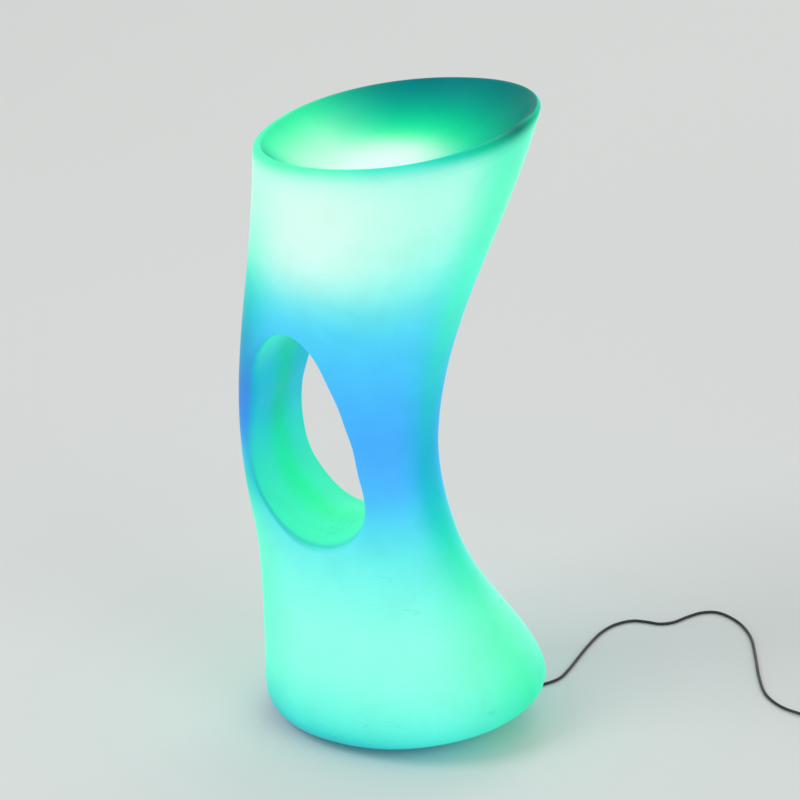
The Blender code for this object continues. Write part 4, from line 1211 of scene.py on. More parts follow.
    def apron_place(self, home: Sequence[float], angle: float, share: float) -> Point:
        """A place on the body's side between the ring grid and the start of the rounded edge.

        Args:
            home: Place (y, z) on the ring grid.
            angle: Direction from the opening's middle, from +Y towards +Z.
            share: 0 at the grid and 1 at the rounded edge.

        Returns:
            The place.
        """
        hole = self.opening
        start = hole.place(angle, hole.outline(hole.face_shares, angle) + hole.edge_size(angle))
        y, z = (a + (b - a) * share for a, b in zip(home, start))
        return self.side_x(y, z), y, z

    def edge_place(self, angle: float, share: float) -> Point:
        """A place on the rounded edge.

        Args:
            angle: Direction from the opening's middle, from +Y towards +Z.
            share: 0 at the body's side and 1 at the inner wall of the opening.

        Returns:
            The place.
        """
        hole = self.opening
        size, reach = hole.edge_size(angle), hole.outline(hole.face_shares, angle)
        outer, corner = hole.place(angle, reach + size), hole.place(angle, reach)
        x = self.side_x(*corner)
        poles = ((self.side_x(*outer), *outer), (x, *corner), (x - size, *corner))
        weights = ((1 - share) ** 2, 2 * share * (1 - share), share**2)
        x, y, z = (sum(w * pole[k] for w, pole in zip(weights, poles)) for k in range(3))
        return x, y, z

    def throat_place(self, angle: float, share: float) -> Point:
        """A place on the inner wall of the opening.

        Args:
            angle: Direction from the opening's middle, from +Y towards +Z.
            share: 0 at the rounded edge and 1 in the middle of the body.

        Returns:
            The place.
        """
        hole = self.opening
        mouth, throat = hole.outline(hole.face_shares, angle), hole.outline(hole.throat_shares, angle)
        y, z = hole.place(angle, mouth + (throat - mouth) * share * (2 - share))
        return self.edge_place(angle, 1)[0] * (1 - share), y, z

    def open_side(self, bm: BMesh, side: int) -> None:
        """Take the middle of one side out of the ring grid and run the rounded opening in to x = 0.

        Args:
            bm: The body's ring grid.
            side: 1 for the side at +X and -1 for the other.
        """
        sizes, hole = self.sizes, self.opening
        spoke, through = bm.verts.layers.int["spoke"], bm.verts.layers.float["through"]
        doomed = [f for f in bm.faces if all(self.in_window(bm, v, side) for v in f.verts)]
        bmesh.ops.delete(bm, geom=doomed, context="FACES")
        rim = [e for e in bm.edges if e.is_boundary and all(self.in_window(bm, v, side) for v in e.verts)]
        homes = sorted({v for e in rim for v in e.verts}, key=lambda v: (round(v.co.z, 5), round(v.co.y, 5)))
        for number, vert in enumerate(homes):
            vert[spoke] = number + 1
        home = [(v.co.y, v.co.z) for v in homes]
        angle = [math.atan2(z - hole.middle_z, y - hole.middle_y) for y, z in home]
        runs: tuple[tuple[Callable[[int, float], Point], int, float, float], ...] = (
            (lambda n, s: self.apron_place(home[n], angle[n], s), sizes.apron_steps, 0.0, 0.0),
            (lambda n, s: self.edge_place(angle[n], s), sizes.edge_steps, 0.0, 0.0),
            (lambda n, s: self.throat_place(angle[n], s), sizes.throat_steps, 0.25, 0.75),
        )
        edges = rim
        for place, count, start, gain in runs:
            for i in range(count):
                share = (i + 1) / count
                verts, edges = extruded(bm, edges)
                for vert in verts:
                    x, y, z = place(vert[spoke] - 1, share)
                    vert.co = (side * x, y, z)
                    vert[through] = start + gain * share

    def in_window(self, bm: BMesh, vert: bmesh.types.BMVert, side: int) -> bool:
        """Whether a vertex of the ring grid lies in the window that the opening is drawn in.

        Args:
            bm: The ring grid.
            vert: The vertex.
            side: 1 for the side at +X and -1 for the other.

        Returns:
            True where it does.
        """
        sizes = self.sizes
        slot, ring = vert[bm.verts.layers.int["slot"]], vert[bm.verts.layers.int["ring"]]
        middle = 0 if side > 0 else sizes.slots // 2
        across = (slot - middle + sizes.slots // 2) % sizes.slots - sizes.slots // 2
        first_wall = sizes.foot_steps + 3
        low, high = (first_wall + round(share * sizes.wall_rings) for share in sizes.opening_shares)
        return abs(across) <= sizes.opening_slots and low <= ring <= high

    def grown(self) -> BMesh:
        """Grow the outer surface ring by ring and open both sides.

        Returns:
            The outer surface as one sheet, open at the aperture.
        """
        bm = bmesh.new()
        for name in self.counts:
            bm.verts.layers.int.new(name)
        for name in self.shares:
            bm.verts.layers.float.new(name)
        slot, ring = bm.verts.layers.int["slot"], bm.verts.layers.int["ring"]
        rim, dish = bm.verts.layers.float["rim"], bm.verts.layers.float["dish"]
        rings, first_wall = self.rings()
        first_rim = first_wall + self.sizes.wall_rings + 1
        first_dish = first_rim + self.sizes.rim_steps
        verts = [bm.verts.new(point) for point in rings[0]]
        for number, vert in enumerate(verts):
            vert[slot] = number
        edges = [bm.edges.new(pair) for pair in zip(verts, verts[1:] + verts[:1])]
        for level, places in enumerate(rings[1:], start=1):
            new, edges = extruded(bm, edges)
            for vert in new:
                vert.co = places[vert[slot]]
                vert[ring] = level
                vert[rim] = min(max((level - first_rim + 1) / self.sizes.rim_steps, 0), 1)
                vert[dish] = float(level >= first_dish)
        cap = bmesh.ops.contextual_create(bm, geom=edges)["faces"]
        middle = bmesh.ops.poke(bm, faces=cap)["verts"]
        for vert in middle:
            vert[rim] = vert[dish] = 1.0
        for side in (1, -1):
            self.open_side(bm, side)
        seam = [v for v in bm.verts if v.is_boundary and abs(v.co.x) < SEAM_GAP]
        bmesh.ops.remove_doubles(bm, verts=seam, dist=SEAM_GAP / 10)
        bmesh.ops.recalc_face_normals(bm, faces=bm.faces)
        return bm

    def paint(self, mesh: bpy.types.Mesh, glow: Glow) -> None:
        """Work out the colour of the light at every point, with its painted shade, and keep it on the mesh.

        Args:
            mesh: The outer surface with its layers.
            glow: The colours.
        """
        count = len(mesh.vertices)
        layers = {}
        for name in self.shares:
            layers[name] = np.zeros(count, np.float32)
            mesh.attributes[name].data.foreach_get("value", layers[name])
        co = np.zeros(count * 3, np.float32)
        mesh.vertices.foreach_get("co", co)
        x, y, z = co.reshape(-1, 3).astype(float).T
        levels = np.linspace(self.sizes.foot_height, self.front.curve[-1, 0], self.sizes.paint_levels)
        table = np.array([self.section(level) for level in levels])
        middle, half_depth, half_width = (np.interp(z, levels, table[:, k]) for k in range(3))
        angle = np.degrees(np.arctan2((y - middle) / half_depth, np.abs(x) / half_width))
        colours = glow.walls(z, angle)
        hole = self.opening
        over, up = y - hole.middle_y, z - hole.middle_z
        direction = np.degrees(np.arctan2(up, over))
        radians = np.radians(direction)
        reach = np.array([hole.outline(hole.face_shares, a) for a in radians])
        size = np.array([hole.edge_size(a) for a in radians])
        beyond = (np.hypot(over, up) - reach) / size
        outside = (layers["through"] == 0) & (layers["rim"] == 0) & (z > self.sizes.opening_low)
        off = ((direction - to + 180) % 360 - 180 for to in (glow.strip_direction, glow.sill_direction))
        strip, sill = (np.exp(-((degrees / glow.direction_spread) ** 2)) for degrees in off)
        tuned = glow.band_line, glow.band_width, glow.band_share, glow.lip_start, glow.lip_end
        line, width, share, start, end = (level + front * strip + below * sill for level, front, below in tuned)
        # Painted shade: a darker band along the opening's rounded edge
        band = np.where(outside, np.exp(-(((beyond - line) / width) ** 2)), 0) * np.minimum(share, glow.band_most)
        colours = mixed(colours, glow.edge.at(direction), band)
        inner = np.where(outside, ease(-beyond, start, end), 0)
        into = np.maximum(ease(layers["through"], *glow.mouth_span), inner)
        deepness = ease(layers["through"], *glow.deep_span)
        throat = mixed(glow.mouth.at(direction), glow.deep.at(direction), deepness)
        colours = mixed(colours, throat, into)
        centre = Vector((self.sizes.light_x, self.sizes.light_y))
        dx, dy = x - centre.x, y - centre.y
        bearing = np.degrees(np.arctan2(dy, np.abs(dx)))
        rim_ring = np.array(self.rim_ring(self.sizes.rim_turn))
        rim_bearing = np.arctan2(rim_ring[:, 1] - centre.y, rim_ring[:, 0] - centre.x)
        order = np.argsort(rim_bearing)
        rim_reach = np.interp(
            np.arctan2(dy, dx),
            rim_bearing[order],
            np.hypot(rim_ring[order, 0] - centre.x, rim_ring[order, 1] - centre.y),
            period=math.tau,
        )
        seat = glow.seat(np.hypot(dx, dy) / rim_reach, bearing)
        below = np.maximum(self.sizes.rim_height + self.sizes.rim_slope * y - z, 0)
        to_back = ease(angle, *glow.rim_back_span)
        fade, power = (level + by_back * to_back for level, by_back in (glow.rim_fade, glow.rim_power))
        near_rim = np.where((layers["through"] == 0) & (layers["dish"] == 0), np.exp(-((below / fade) ** power)), 0)
        colours = mixed(colours, glow.rim.at(angle), near_rim)
        turn = layers["rim"] * (1 - layers["dish"])
        colours = mixed(colours, glow.rim.at(angle), ease(turn, *glow.rim_span))
        far = ease(-x, *glow.far_span)
        start, end = (level + by_far * far for level, by_far in (glow.seat_start, glow.seat_end))
        colours = mixed(colours, seat, np.maximum(ease(turn, start, end), layers["dish"]))
        # Painted shade: the underside is darker just above the floor
        under = ease(-z, -self.sizes.foot_height - glow.under_height, -self.sizes.foot_height)
        colours = mixed(colours, colours * glow.under_shade, under)
        light = np.where(colours <= 0.04045, colours / 12.92, ((colours + 0.055) / 1.055) ** 2.4)
        layer = mesh.attributes.new("glow", "FLOAT_COLOR", "POINT")
        layer.data.foreach_set("color", np.column_stack([light, np.ones(count)]).astype(np.float32).ravel())

    def build(self, palette: Palette) -> Any:
        """Model the body, colour it and cut the holes for its inserts.

        Args:
            palette: The finished materials.

        Returns:
            The body.
        """
        shell = piece("moulded_body", self.grown(), palette.get("body"), sharp_degrees=50)
        self.paint(shell.data, Glow())
        wall = shell.modifiers.new("wall", "SOLIDIFY")
        wall.thickness, wall.offset, wall.use_even_offset = self.sizes.wall, -1, True
        settled(shell)
        roof = self.sizes.foot_height + self.sizes.recess_depth
        low, high = roof - self.sizes.wall, roof + 2 * self.sizes.wall
        holes = []
        for i in range(4):
            place = middle_of(f"threaded_insert_{i + 1}")
            holes.append(rod(self.sizes.insert_radius, low, high, place.x, place.y, 32))
        shaped(shell, holes)
        for name in self.counts + self.shares:
            shell.data.attributes.remove(shell.data.attributes[name])
        return mount(shell, ["body_shell"])


# Under the body


@dataclass(frozen=True)
class FootPads:
    """Four rubber pads, each with a rounded edge and two grooves for grip."""

    radius: float = 0.010
    height: float = 0.0047
    edge: float = 0.0012
    groove: float = 0.0008
    groove_circles: tuple[float, ...] = (0.0038, 0.0066)

    def build(self, palette: Palette) -> list[Any]:
        """Model the four pads.

        Args:
            palette: The finished materials.

        Returns:
            The pads.
        """
        pads = []
        for i in range(4):
            node = f"foot_pad_{i + 1}"
            place = middle_of(node)
            corners: list[tuple[float, float]] = [(0, 0)]
            for circle in self.groove_circles:
                corners += [(circle - self.groove / 2, 0), (circle, self.groove), (circle + self.groove / 2, 0)]
            corners += [(self.radius, 0), (self.radius, self.height), (0, self.height)]
            rounds = [0.0] * (len(corners) - 3) + [self.edge, self.edge / 3, 0.0]
            bm = moved(turned(rounded(corners, rounds)), (place.x, place.y, 0))
            pads.append(mount(piece(f"rubber_pad_{i + 1}", bm, palette.get("rubber")), [node]))
        return pads


@dataclass(frozen=True)
class ModuleFasteners:
    """Socket head screws in the flange and the brass inserts that they go into."""

    head_edge: float = 0.0005
    head_height: float = 0.0024
    shank: float = 0.0015
    socket_across: float = 0.0025
    socket_depth: float = 0.0014
    bore: float = 0.0018
    barrel: float = 0.0032
    collar_start: float = 0.0035
    collar_height: float = 0.0012
    knurl_teeth: int = 24
    knurl_depth: float = 0.00035

    def knurl(self, bm: BMesh, low: float, high: float) -> None:
        """Press every second side in, between two radii.

        Args:
            bm: A turned mesh with two sides for each tooth.
            low: The smaller radius.
            high: The larger radius.
        """
        for vert in bm.verts:
            radius = vert.co.xy.length
            turn = math.atan2(vert.co.y, vert.co.x) / math.tau * self.knurl_teeth * 2
            if low < radius < high and round(turn) % 2:
                vert.co.xy *= 1 - self.knurl_depth / radius

    def screw(self, node: str, palette: Palette) -> Any:
        """Model one screw with its knurled head and hexagon socket.

        Args:
            node: The frame's node.
            palette: The finished materials.

        Returns:
            The screw.
        """
        low, high, x, y, head = upright(node)
        neck = low + self.head_height
        corners = ((0, low), (head, low), (head, neck), (self.shank, neck), (self.shank, high), (0, high))
        bm = turned(rounded(corners, (0, self.head_edge, 0, 0, self.head_edge, 0)), self.knurl_teeth * 2)
        self.knurl(bm, head - self.knurl_depth, math.inf)
        thing = piece(node.replace("module_screw", "cap_screw"), moved(bm, (x, y, 0)), palette.get("steel"))
        corner = self.socket_across / math.sqrt(3)
        socket = rod(corner, low - self.socket_depth, low + self.socket_depth, x, y, 6)
        return mount(shaped(thing, [socket]), [node])

    def insert(self, node: str, palette: Palette) -> Any:
        """Model one insert with its knurled barrel.

        Args:
            node: The frame's node.
            palette: The finished materials.

        Returns:
            The insert.
        """
        low, high, x, y, head = upright(node)
        seat, edge = low + self.collar_start, self.head_edge / 2
        top = seat + self.collar_height
        lower = ((self.bore, low), (self.barrel, low), (self.barrel, seat), (head, seat))
        upper = ((head, top), (self.barrel, top), (self.barrel, high), (self.bore, high))
        bm = turned(rounded(lower + upper, (edge, edge, 0, edge, edge, 0, edge, edge)), self.knurl_teeth * 2)
        self.knurl(bm, self.barrel - edge / 2, self.barrel + edge / 2)
        name = node.replace("threaded_insert", "brass_insert")
        return mount(piece(name, moved(bm, (x, y, 0)), palette.get("brass")), [node])

    def build(self, palette: Palette) -> list[Any]:
        """Model all screws and inserts."""
        made = [self.screw(f"module_screw_{i + 1}", palette) for i in range(4)]
        return made + [self.insert(f"threaded_insert_{i + 1}", palette) for i in range(4)]


@dataclass(frozen=True)
class LampModule:
    """The flanged housing that closes the base, and what shows on its underside."""

    flange_edge: float = 0.001
    cup_radius: float = 0.0575
    cup_wall: float = 0.0025
    flange_thick: float = 0.003
    ring_radii: tuple[float, ...] = (0.050, 0.0545)
    ring_depth: float = 0.0008
    ring_width: float = 0.0012
    screw_hole: float = 0.0018
    socket_hole: float = 0.0047
    button_hole: float = 0.0045
    lens_hole: float = 0.0018
    post_radius: float = 0.0024
    post_reach: float = 0.0205
    cap_radius: float = 0.0042
    cap_edge: float = 0.0012
    collar_thick: float = 0.0012
    stem_radius: float = 0.0015
    groove_radius: float = 0.0026
    groove_width: float = 0.0004
    groove_depth: float = 0.0003
    gasket_bore: float = 0.0615

    def screw_holes(self, low: float, high: float) -> list[BMesh]:
        """Tools that cut the four screw holes between two heights."""
        return [rod(self.screw_hole, low, high, *middle_of(f"module_screw_{i + 1}").xy, 32) for i in range(4)]

    def housing(self, palette: Palette) -> Any:
        """Model the housing, with two grooves under the flange and two posts for the board.

        Args:
            palette: The finished materials.

        Returns:
            The housing.
        """
        under, high, _, _, flange = upright("module_housing")
        top = under + self.flange_thick
        corners: list[tuple[float, float]] = [(0, under)]
        rounds: list[float] = [0]
        for radius in self.ring_radii:
            for off, deep in ((-1, 0), (-0.6, 1), (0.6, 1), (1, 0)):
                corners.append((radius + off * self.ring_width / 2, under + deep * self.ring_depth))
                rounds.append(self.ring_width / 8)
        corners += [(flange, under), (flange, top), (self.cup_radius, top), (self.cup_radius, high)]
        rounds += [self.flange_edge, self.flange_edge / 2, 0, self.cup_wall / 3]
        inner = self.cup_radius - self.cup_wall
        corners += [(inner, high), (inner, top), (0, top)]
        rounds += [self.cup_wall / 3, self.flange_edge, 0]
        thing = piece("lamp_housing", turned(rounded(corners, rounds), 128), palette.get("white_abs"))
        board, line = corners_of("control_board")[0], middle_of("control_board").y
        posts = [
            rod(self.post_radius, under + self.flange_thick / 2, board.z - SEAM_GAP, side * self.post_reach, line, 32)
            for side in (-1, 1)
        ]
        shaped(thing, posts, "UNION")
        stops = under - self.flange_thick, top + self.flange_thick
        holes = self.screw_holes(*stops)
        for node, radius in (
            ("charge_socket", self.socket_hole),
            ("power_button", self.button_hole),
            ("indicator_lens", self.lens_hole),
        ):
            holes.append(rod(radius, *stops, *middle_of(node).xy))
        shaped(thing, holes)
        smoothed(thing.data)
        return mount(thing, ["module_housing"])

    def button(self, palette: Palette) -> Any:
        """Model the button's rounded cap with a round groove in its face.

        Args:
            palette: The finished materials.

        Returns:
            The cap.
        """
        low, high, x, y, collar = upright("power_button")
        seat = corners_of("module_housing")[0].z + self.flange_thick + SEAM_GAP
        top = seat + self.collar_thick
        cap, stem, groove, width = self.cap_radius, self.stem_radius, self.groove_radius, self.groove_width
        under = ((0, low), (groove - width, low), (groove, low + self.groove_depth), (groove + width, low))
        above = ((cap, low), (cap, seat), (collar, seat), (collar, top), (stem, top), (stem, high), (0, high))
        rounds = (0, 0.0001, 0.0001, 0.0001, self.cap_edge, 0, 0.0002, 0.0003, 0.0003, 0.0003, 0)
        bm = moved(turned(rounded(under + above, rounds)), (x, y, 0))
        thing = piece("button_cap", bm, palette.get("silicone"), sharp_degrees=60)
        return mount(thing, ["power_button"], body="power_button")

    def seal(self, palette: Palette) -> Any:
        """Model the ring-shaped seal round the button."""
        bm = hollow("button_seal", self.button_hole, (0.0003, 0.0007, 0, 0))
        return mount(piece("seal_ring", bm, palette.get("rubber")), ["button_seal"])

    def gasket(self, palette: Palette) -> Any:
        """Model the flat gasket with its screw holes.

        Args:
            palette: The finished materials.

        Returns:
            The gasket.
        """
        low, high = (corner.z for corner in corners_of("module_gasket"))
        bm = hollow("module_gasket", self.gasket_bore, (0.0002,) * 4, 2, 128)
        thing = piece("flange_gasket", bm, palette.get("silicone"))
        holes = self.screw_holes(low - self.flange_thick, high + self.flange_thick)
        return mount(shaped(thing, holes), ["module_gasket"])

    def build(self, palette: Palette) -> list[Any]:
        """Model the housing and what is on its underside."""
        return [self.housing(palette), self.button(palette), self.seal(palette), self.gasket(palette)]


# Inside the body


@dataclass(frozen=True)
class InnerParts:
    """The frame's own nodes that keep their solids, and the finish of each."""

    finishes: tuple[tuple[str, str], ...] = (
        ("battery_cradle", "black_abs"),
        ("battery_cell_1", "sleeve"),
        ("battery_cell_2", "sleeve"),
        ("control_board", "solder_mask"),
        ("charge_socket", "black_abs"),
        ("tact_switch", "black_abs"),
        ("indicator_lens", "clear"),
        ("led_board", "white_mask"),
        ("mast_collar", "white_abs"),
        ("plug_barrel", "nickel"),
    )

    def build(self, palette: Palette) -> None:
        """Give each node its finish.

        Args:
            palette: The finished materials.
        """
        for node, finish in self.finishes:
            dress(node, palette.get(finish))
        for i in range(6):
            dress(f"base_led_{i + 1}", palette.get("diode"))
            dress(f"head_led_{i + 1}", palette.get("diode"))


@dataclass(frozen=True)
class LightMast:
    """The mast with its head, the cover over the head and the diffuser in the base."""

    wall: float = 0.0015
    edge: float = 0.0006
    dome: float = 0.0115
    dome_steps: int = 12
    channel_bore: float = 0.0385

    def tube(self, palette: Palette) -> Any:
        """Model the mast's tube."""
        bm = hollow("lamp_mast", upright("lamp_mast")[-1] - self.wall, (self.edge / 2,) * 4, 2, 48)
        return mount(piece("mast_tube", bm, palette.get("aluminium")), ["lamp_mast"])

    def cover(self, palette: Palette) -> Any:
        """Model the domed cover over the head.

        Args:
            palette: The finished materials.

        Returns:
            The cover.
        """
        low, high, x, y, outer = upright("head_cover")
        inner, seat = outer - self.wall, high - self.dome
        corners = [(inner, low), (outer, low), (outer, seat)]
        for i in range(1, self.dome_steps):
            turn = math.pi / 2 * i / self.dome_steps
            corners.append((outer * math.cos(turn), seat + self.dome * math.sin(turn)))
        corners += [(0, high), (0, seat), (inner, seat)]
        bm = moved(turned(corners, 64), (x, y, 0))
        return mount(piece("mast_head_cover", bm, palette.get("opal")), ["head_cover"])

    def diffuser(self, palette: Palette) -> Any:
        """Model the ring-shaped channel over the lights in the base.

        Args:
            palette: The finished materials.

        Returns:
            The channel.
        """
        low, high, _, _, outer = upright("base_diffuser")
        inner, wall = self.channel_bore, self.wall
        under = high - wall
        inside = ((inner, low), (inner + wall, low), (inner + wall, under), (outer - wall, under))
        outside = ((outer - wall, low), (outer, low), (outer, high), (inner, high))
        bm = turned(rounded(inside + outside, (0, 0, wall, wall, 0, 0, 2 * wall, 2 * wall)), 96)
        return mount(piece("ring_diffuser", bm, palette.get("opal")), ["base_diffuser"])

    def build(self, palette: Palette) -> list[Any]:
        """Model the mast and both covers."""
        dress("lamp_head", palette.get("aluminium"))
        return [self.tube(palette), self.cover(palette), self.diffuser(palette)]


# The charging lead


@dataclass(frozen=True)
class ChargingLead:
    """The lead from the plug under the base to the adapter, in one length, with what is on it."""

    route: tuple[Point, ...] = (
        (-0.0075, 0.0559, 0.0114), (-0.0112, 0.0605, 0.0112), (-0.0205, 0.0690, 0.0078), (-0.0320, 0.0755, 0.0034),
        (-0.0470, 0.0840, 0.0020), (-0.0700, 0.0980, 0.0019), (-0.0950, 0.1190, 0.0019), (-0.1190, 0.1400, 0.0019),
        (-0.1430, 0.1520, 0.0019), (-0.1690, 0.1525, 0.0019), (-0.2030, 0.1490, 0.0019), (-0.2400, 0.1455, 0.0019),
        (-0.2750, 0.1445, 0.0019), (-0.3030, 0.1500, 0.0019), (-0.3230, 0.1640, 0.0019), (-0.3290, 0.1810, 0.0019),
        (-0.3320, 0.1980, 0.0019), (-0.3440, 0.2110, 0.0019), (-0.3650, 0.2200, 0.0019), (-0.3840, 0.2310, 0.0019),
        (-0.3930, 0.2470, 0.0019), (-0.3885, 0.2670, 0.0019), (-0.3740, 0.2900, 0.0019), (-0.3480, 0.3130, 0.0019),
        (-0.3080, 0.3360, 0.0019), (-0.2600, 0.3620, 0.0019), (-0.2240, 0.3860, 0.0019), (-0.2040, 0.4130, 0.0020),
        (-0.1965, 0.4400, 0.0026), (-0.1960, 0.4650, 0.00285), (-0.1960, 0.4700, 0.00285),
    )  # fmt: skip
    radius: float = 0.00175
    turns: int = 6
    turn_points: int = 48
    coil_radius: float = 0.019
    coil_pitch: float = 0.00395
    start_run: float = 0.004
    end_run: float = 0.014
    low_z: float = 0.00285
    span_steps: int = 12
    socket_place: tuple[float, float] = (0.010, 0.034)
    plug_radius: float = 0.0055
    plug_edge: float = 0.0016
    arm_radius: float = 0.0040
    arm_reach: float = 0.009
    arm_rise: float = 0.0048
    relief_length: float = 0.0185
    relief_root: float = 0.0036
    relief_tip: float = 0.0024
    relief_ribs: int = 6
    first_rib: float = 0.55
    rib_depth: float = 0.45
    rib_shape: tuple[tuple[float, float], ...] = (
        (0.0, 0.0), (0.12, 0.7), (0.22, 1.0), (0.42, 1.0), (0.52, 0.7), (0.64, 0.0),
    )  # fmt: skip
    end_relief_length: float = 0.013
    end_relief_root: float = 0.0044
    end_relief_tip: float = 0.0026
    adapter_edge: float = 0.0042
    seam_width: float = 0.0006
    pin_edge: float = 0.0005
    pin_hole: float = 0.0011
    pin_hole_in: float = 0.0035
    tie_thick: float = 0.0008
    tie_edge: float = 0.45
    tail_length: float = 0.45
    tail_thick: float = 0.6
    tail_edge: float = 0.2
    tail_shift: float = 0.1
    sheath_fineness: int = 4

    @property
    def outer(self) -> float:
        """Radius of the coil's outer turn."""
        return self.coil_radius + self.coil_pitch * self.turns / 4

    @property
    def inner(self) -> float:
        """Radius of the coil's inner turn."""
        return self.coil_radius - self.coil_pitch * self.turns / 4

    @property
    def high_z(self) -> float:
        """Height of the upper turns' middle line."""
        return self.low_z + self.coil_pitch

    @property
    def coil_middle(self) -> tuple[float, float]:
        """The middle of the coil in plan."""
        end = self.route[-1]
        return end[0] - self.outer, end[1] + SEAM_GAP + self.start_run

    @property
    def heading(self) -> float:
        """Direction in plan from the socket to the start of the lead."""
        x, y = self.socket_place
        return math.atan2(self.route[0][1] - y, self.route[0][0] - x)

    @property
    def along_lead(self) -> Matrix:
        """Turns an upright piece to lie along the start of the lead."""
        return Matrix.Rotation(self.heading, 3, "Z") @ Matrix.Rotation(math.pi / 2, 3, "Y")

    def free_run(self) -> list[Point]:
        """Follow a smooth curve through the route.

        Returns:
            The points.
        """
        knots = np.array(self.route)
        padded = np.vstack([2 * knots[0] - knots[1], knots, 2 * knots[-1] - knots[-2]])
        t = np.linspace(0, 1, self.span_steps, endpoint=False)[:, None]
        runs = [
            p1 + t / 2 * (p2 - p0 + t * (2 * p0 - 5 * p1 + 4 * p2 - p3 + t * (3 * (p1 - p2) + p3 - p0)))
            for p0, p1, p2, p3 in zip(padded, padded[1:], padded[2:], padded[3:])
        ]
        return [tuple(point) for point in np.vstack(runs)]

    def coil_run(self) -> list[Point]:
        """Follow the coil: in on the lower layer, up and out again on the upper one.

        Returns:
            The points.
        """
        cx, cy = self.coil_middle
        points = [(cx + self.outer, cy - self.start_run, self.low_z)]
        for i in range(self.turns * self.turn_points + 1):
            turns = i / self.turn_points - self.turns / 2
            radius = self.inner + self.coil_pitch * abs(turns)
            climb = min(max(turns * 2 + 0.5, 0), 1)
            z = self.low_z + self.coil_pitch * (1 - math.cos(math.pi * climb)) / 2
            angle = math.tau * i / self.turn_points
            points.append((cx + radius * math.cos(angle), cy + radius * math.sin(angle), z))
        points.append((cx + self.outer, cy + self.end_run, self.high_z))
        return points

    def lead(self, palette: Palette) -> tuple[Any, float]:
        """Model the lead as one curve.

        Args:
            palette: The finished materials.

        Returns:
            The curve and its length.
        """
        points = self.free_run() + self.coil_run()
        curve = bpy.data.curves.new("charging_lead", "CURVE")
        curve.dimensions = "3D"
        curve.bevel_depth, curve.bevel_resolution, curve.use_fill_caps = self.radius, self.sheath_fineness, True
        spline = curve.splines.new("POLY")
        spline.points.add(len(points) - 1)
        spline.points.foreach_set("co", [value for point in points for value in (*point, 1.0)])
        spline.use_smooth = True
        curve.materials.append(palette.get("sheath"))
        thing = bpy.data.objects.new("charging_lead", curve)
        bpy.context.scene.collection.objects.link(thing)
        length = float(np.linalg.norm(np.diff(np.array(points), axis=0), axis=1).sum())
        return mount(thing, ["cord_lead", "cord_coil"]), length

    def ribbed(self, length: float, root: float, tip: float, steps: int = 32) -> BMesh:
        """A tapered strain relief from z = 0 up, with grooves between its ribs.

        Args:
            length: Its length.
            root: Radius at the housing.
            tip: Radius where the lead leaves it.
            steps: How many sides it has.

        Returns:
            The mesh.
        """
        pitch = length / (self.relief_ribs + 1)
        outline = [(0.0, 0.0), (root, 0.0)]
        for i in range(self.relief_ribs):
            start = pitch * (i + self.first_rib)
            for share, depth in self.rib_shape:
                z = start + pitch * share
                radius = root + (tip - root) * z / length
                outline.append((radius - depth * (radius - self.radius - SEAM_GAP) * self.rib_depth, z))
        outline += [(tip, length - tip / 6), (tip - tip / 8, length), (0.0, length)]
        return turned(outline, steps)

    def plug(self, palette: Palette) -> Any:
        """Model the right-angle plug with its round arm and three grooves for grip.

        Args:
            palette: The finished materials.

        Returns:
            The plug.
        """
        low, high = corners_of("charge_plug")
        x, y = self.socket_place
        corners = oblong(0, self.plug_radius, low.z, high.z)
        bm = moved(turned(rounded(corners, (0, self.plug_edge, SEAM_GAP, 0)), 48), (x, y, 0))
        thing = piece("lead_plug", bm, palette.get("vinyl"))
        arm = turned(rounded(oblong(0, self.arm_radius, 0, self.arm_reach), (0, 0, self.plug_edge / 4, 0)), 48)
        moved(arm, (x, y, low.z + self.arm_rise), self.along_lead)
        shaped(thing, [arm], "UNION")
        grooves = []
        for i in (-1, 0, 1):
            z = high.z - self.plug_edge * (2 + i)
            sides = self.plug_radius - SEAM_GAP, self.plug_radius + SEAM_GAP
            groove = turned(oblong(*sides, z - SEAM_GAP, z + SEAM_GAP), 48)
            grooves.append(moved(groove, (x, y, 0)))
        shaped(thing, grooves)
        smoothed(thing.data)
        return mount(thing, ["charge_plug"])

    def reliefs(self, palette: Palette) -> list[Any]:
        """Model the strain reliefs at both ends of the lead.

        Args:
            palette: The finished materials.

        Returns:
            Both reliefs.
        """
        x, y = self.socket_place
        z = corners_of("charge_plug")[0].z + self.arm_rise
        start = self.arm_reach + SEAM_GAP
        at = (x + start * math.cos(self.heading), y + start * math.sin(self.heading), z)
        near = moved(self.ribbed(self.relief_length, self.relief_root, self.relief_tip), at, self.along_lead)
        cx, cy = self.coil_middle
        far_at = (cx + self.outer, cy + self.end_run + SEAM_GAP + self.end_relief_length, self.high_z)
        back = Matrix.Rotation(math.pi / 2, 3, "X")
        far = moved(self.ribbed(self.end_relief_length, self.end_relief_root, self.end_relief_tip), far_at, back)
        return [
            mount(piece("plug_strain_relief", near, palette.get("vinyl")), ["plug_relief"]),
            mount(piece("adapter_strain_relief", far, palette.get("vinyl")), ["adapter_relief"]),
        ]

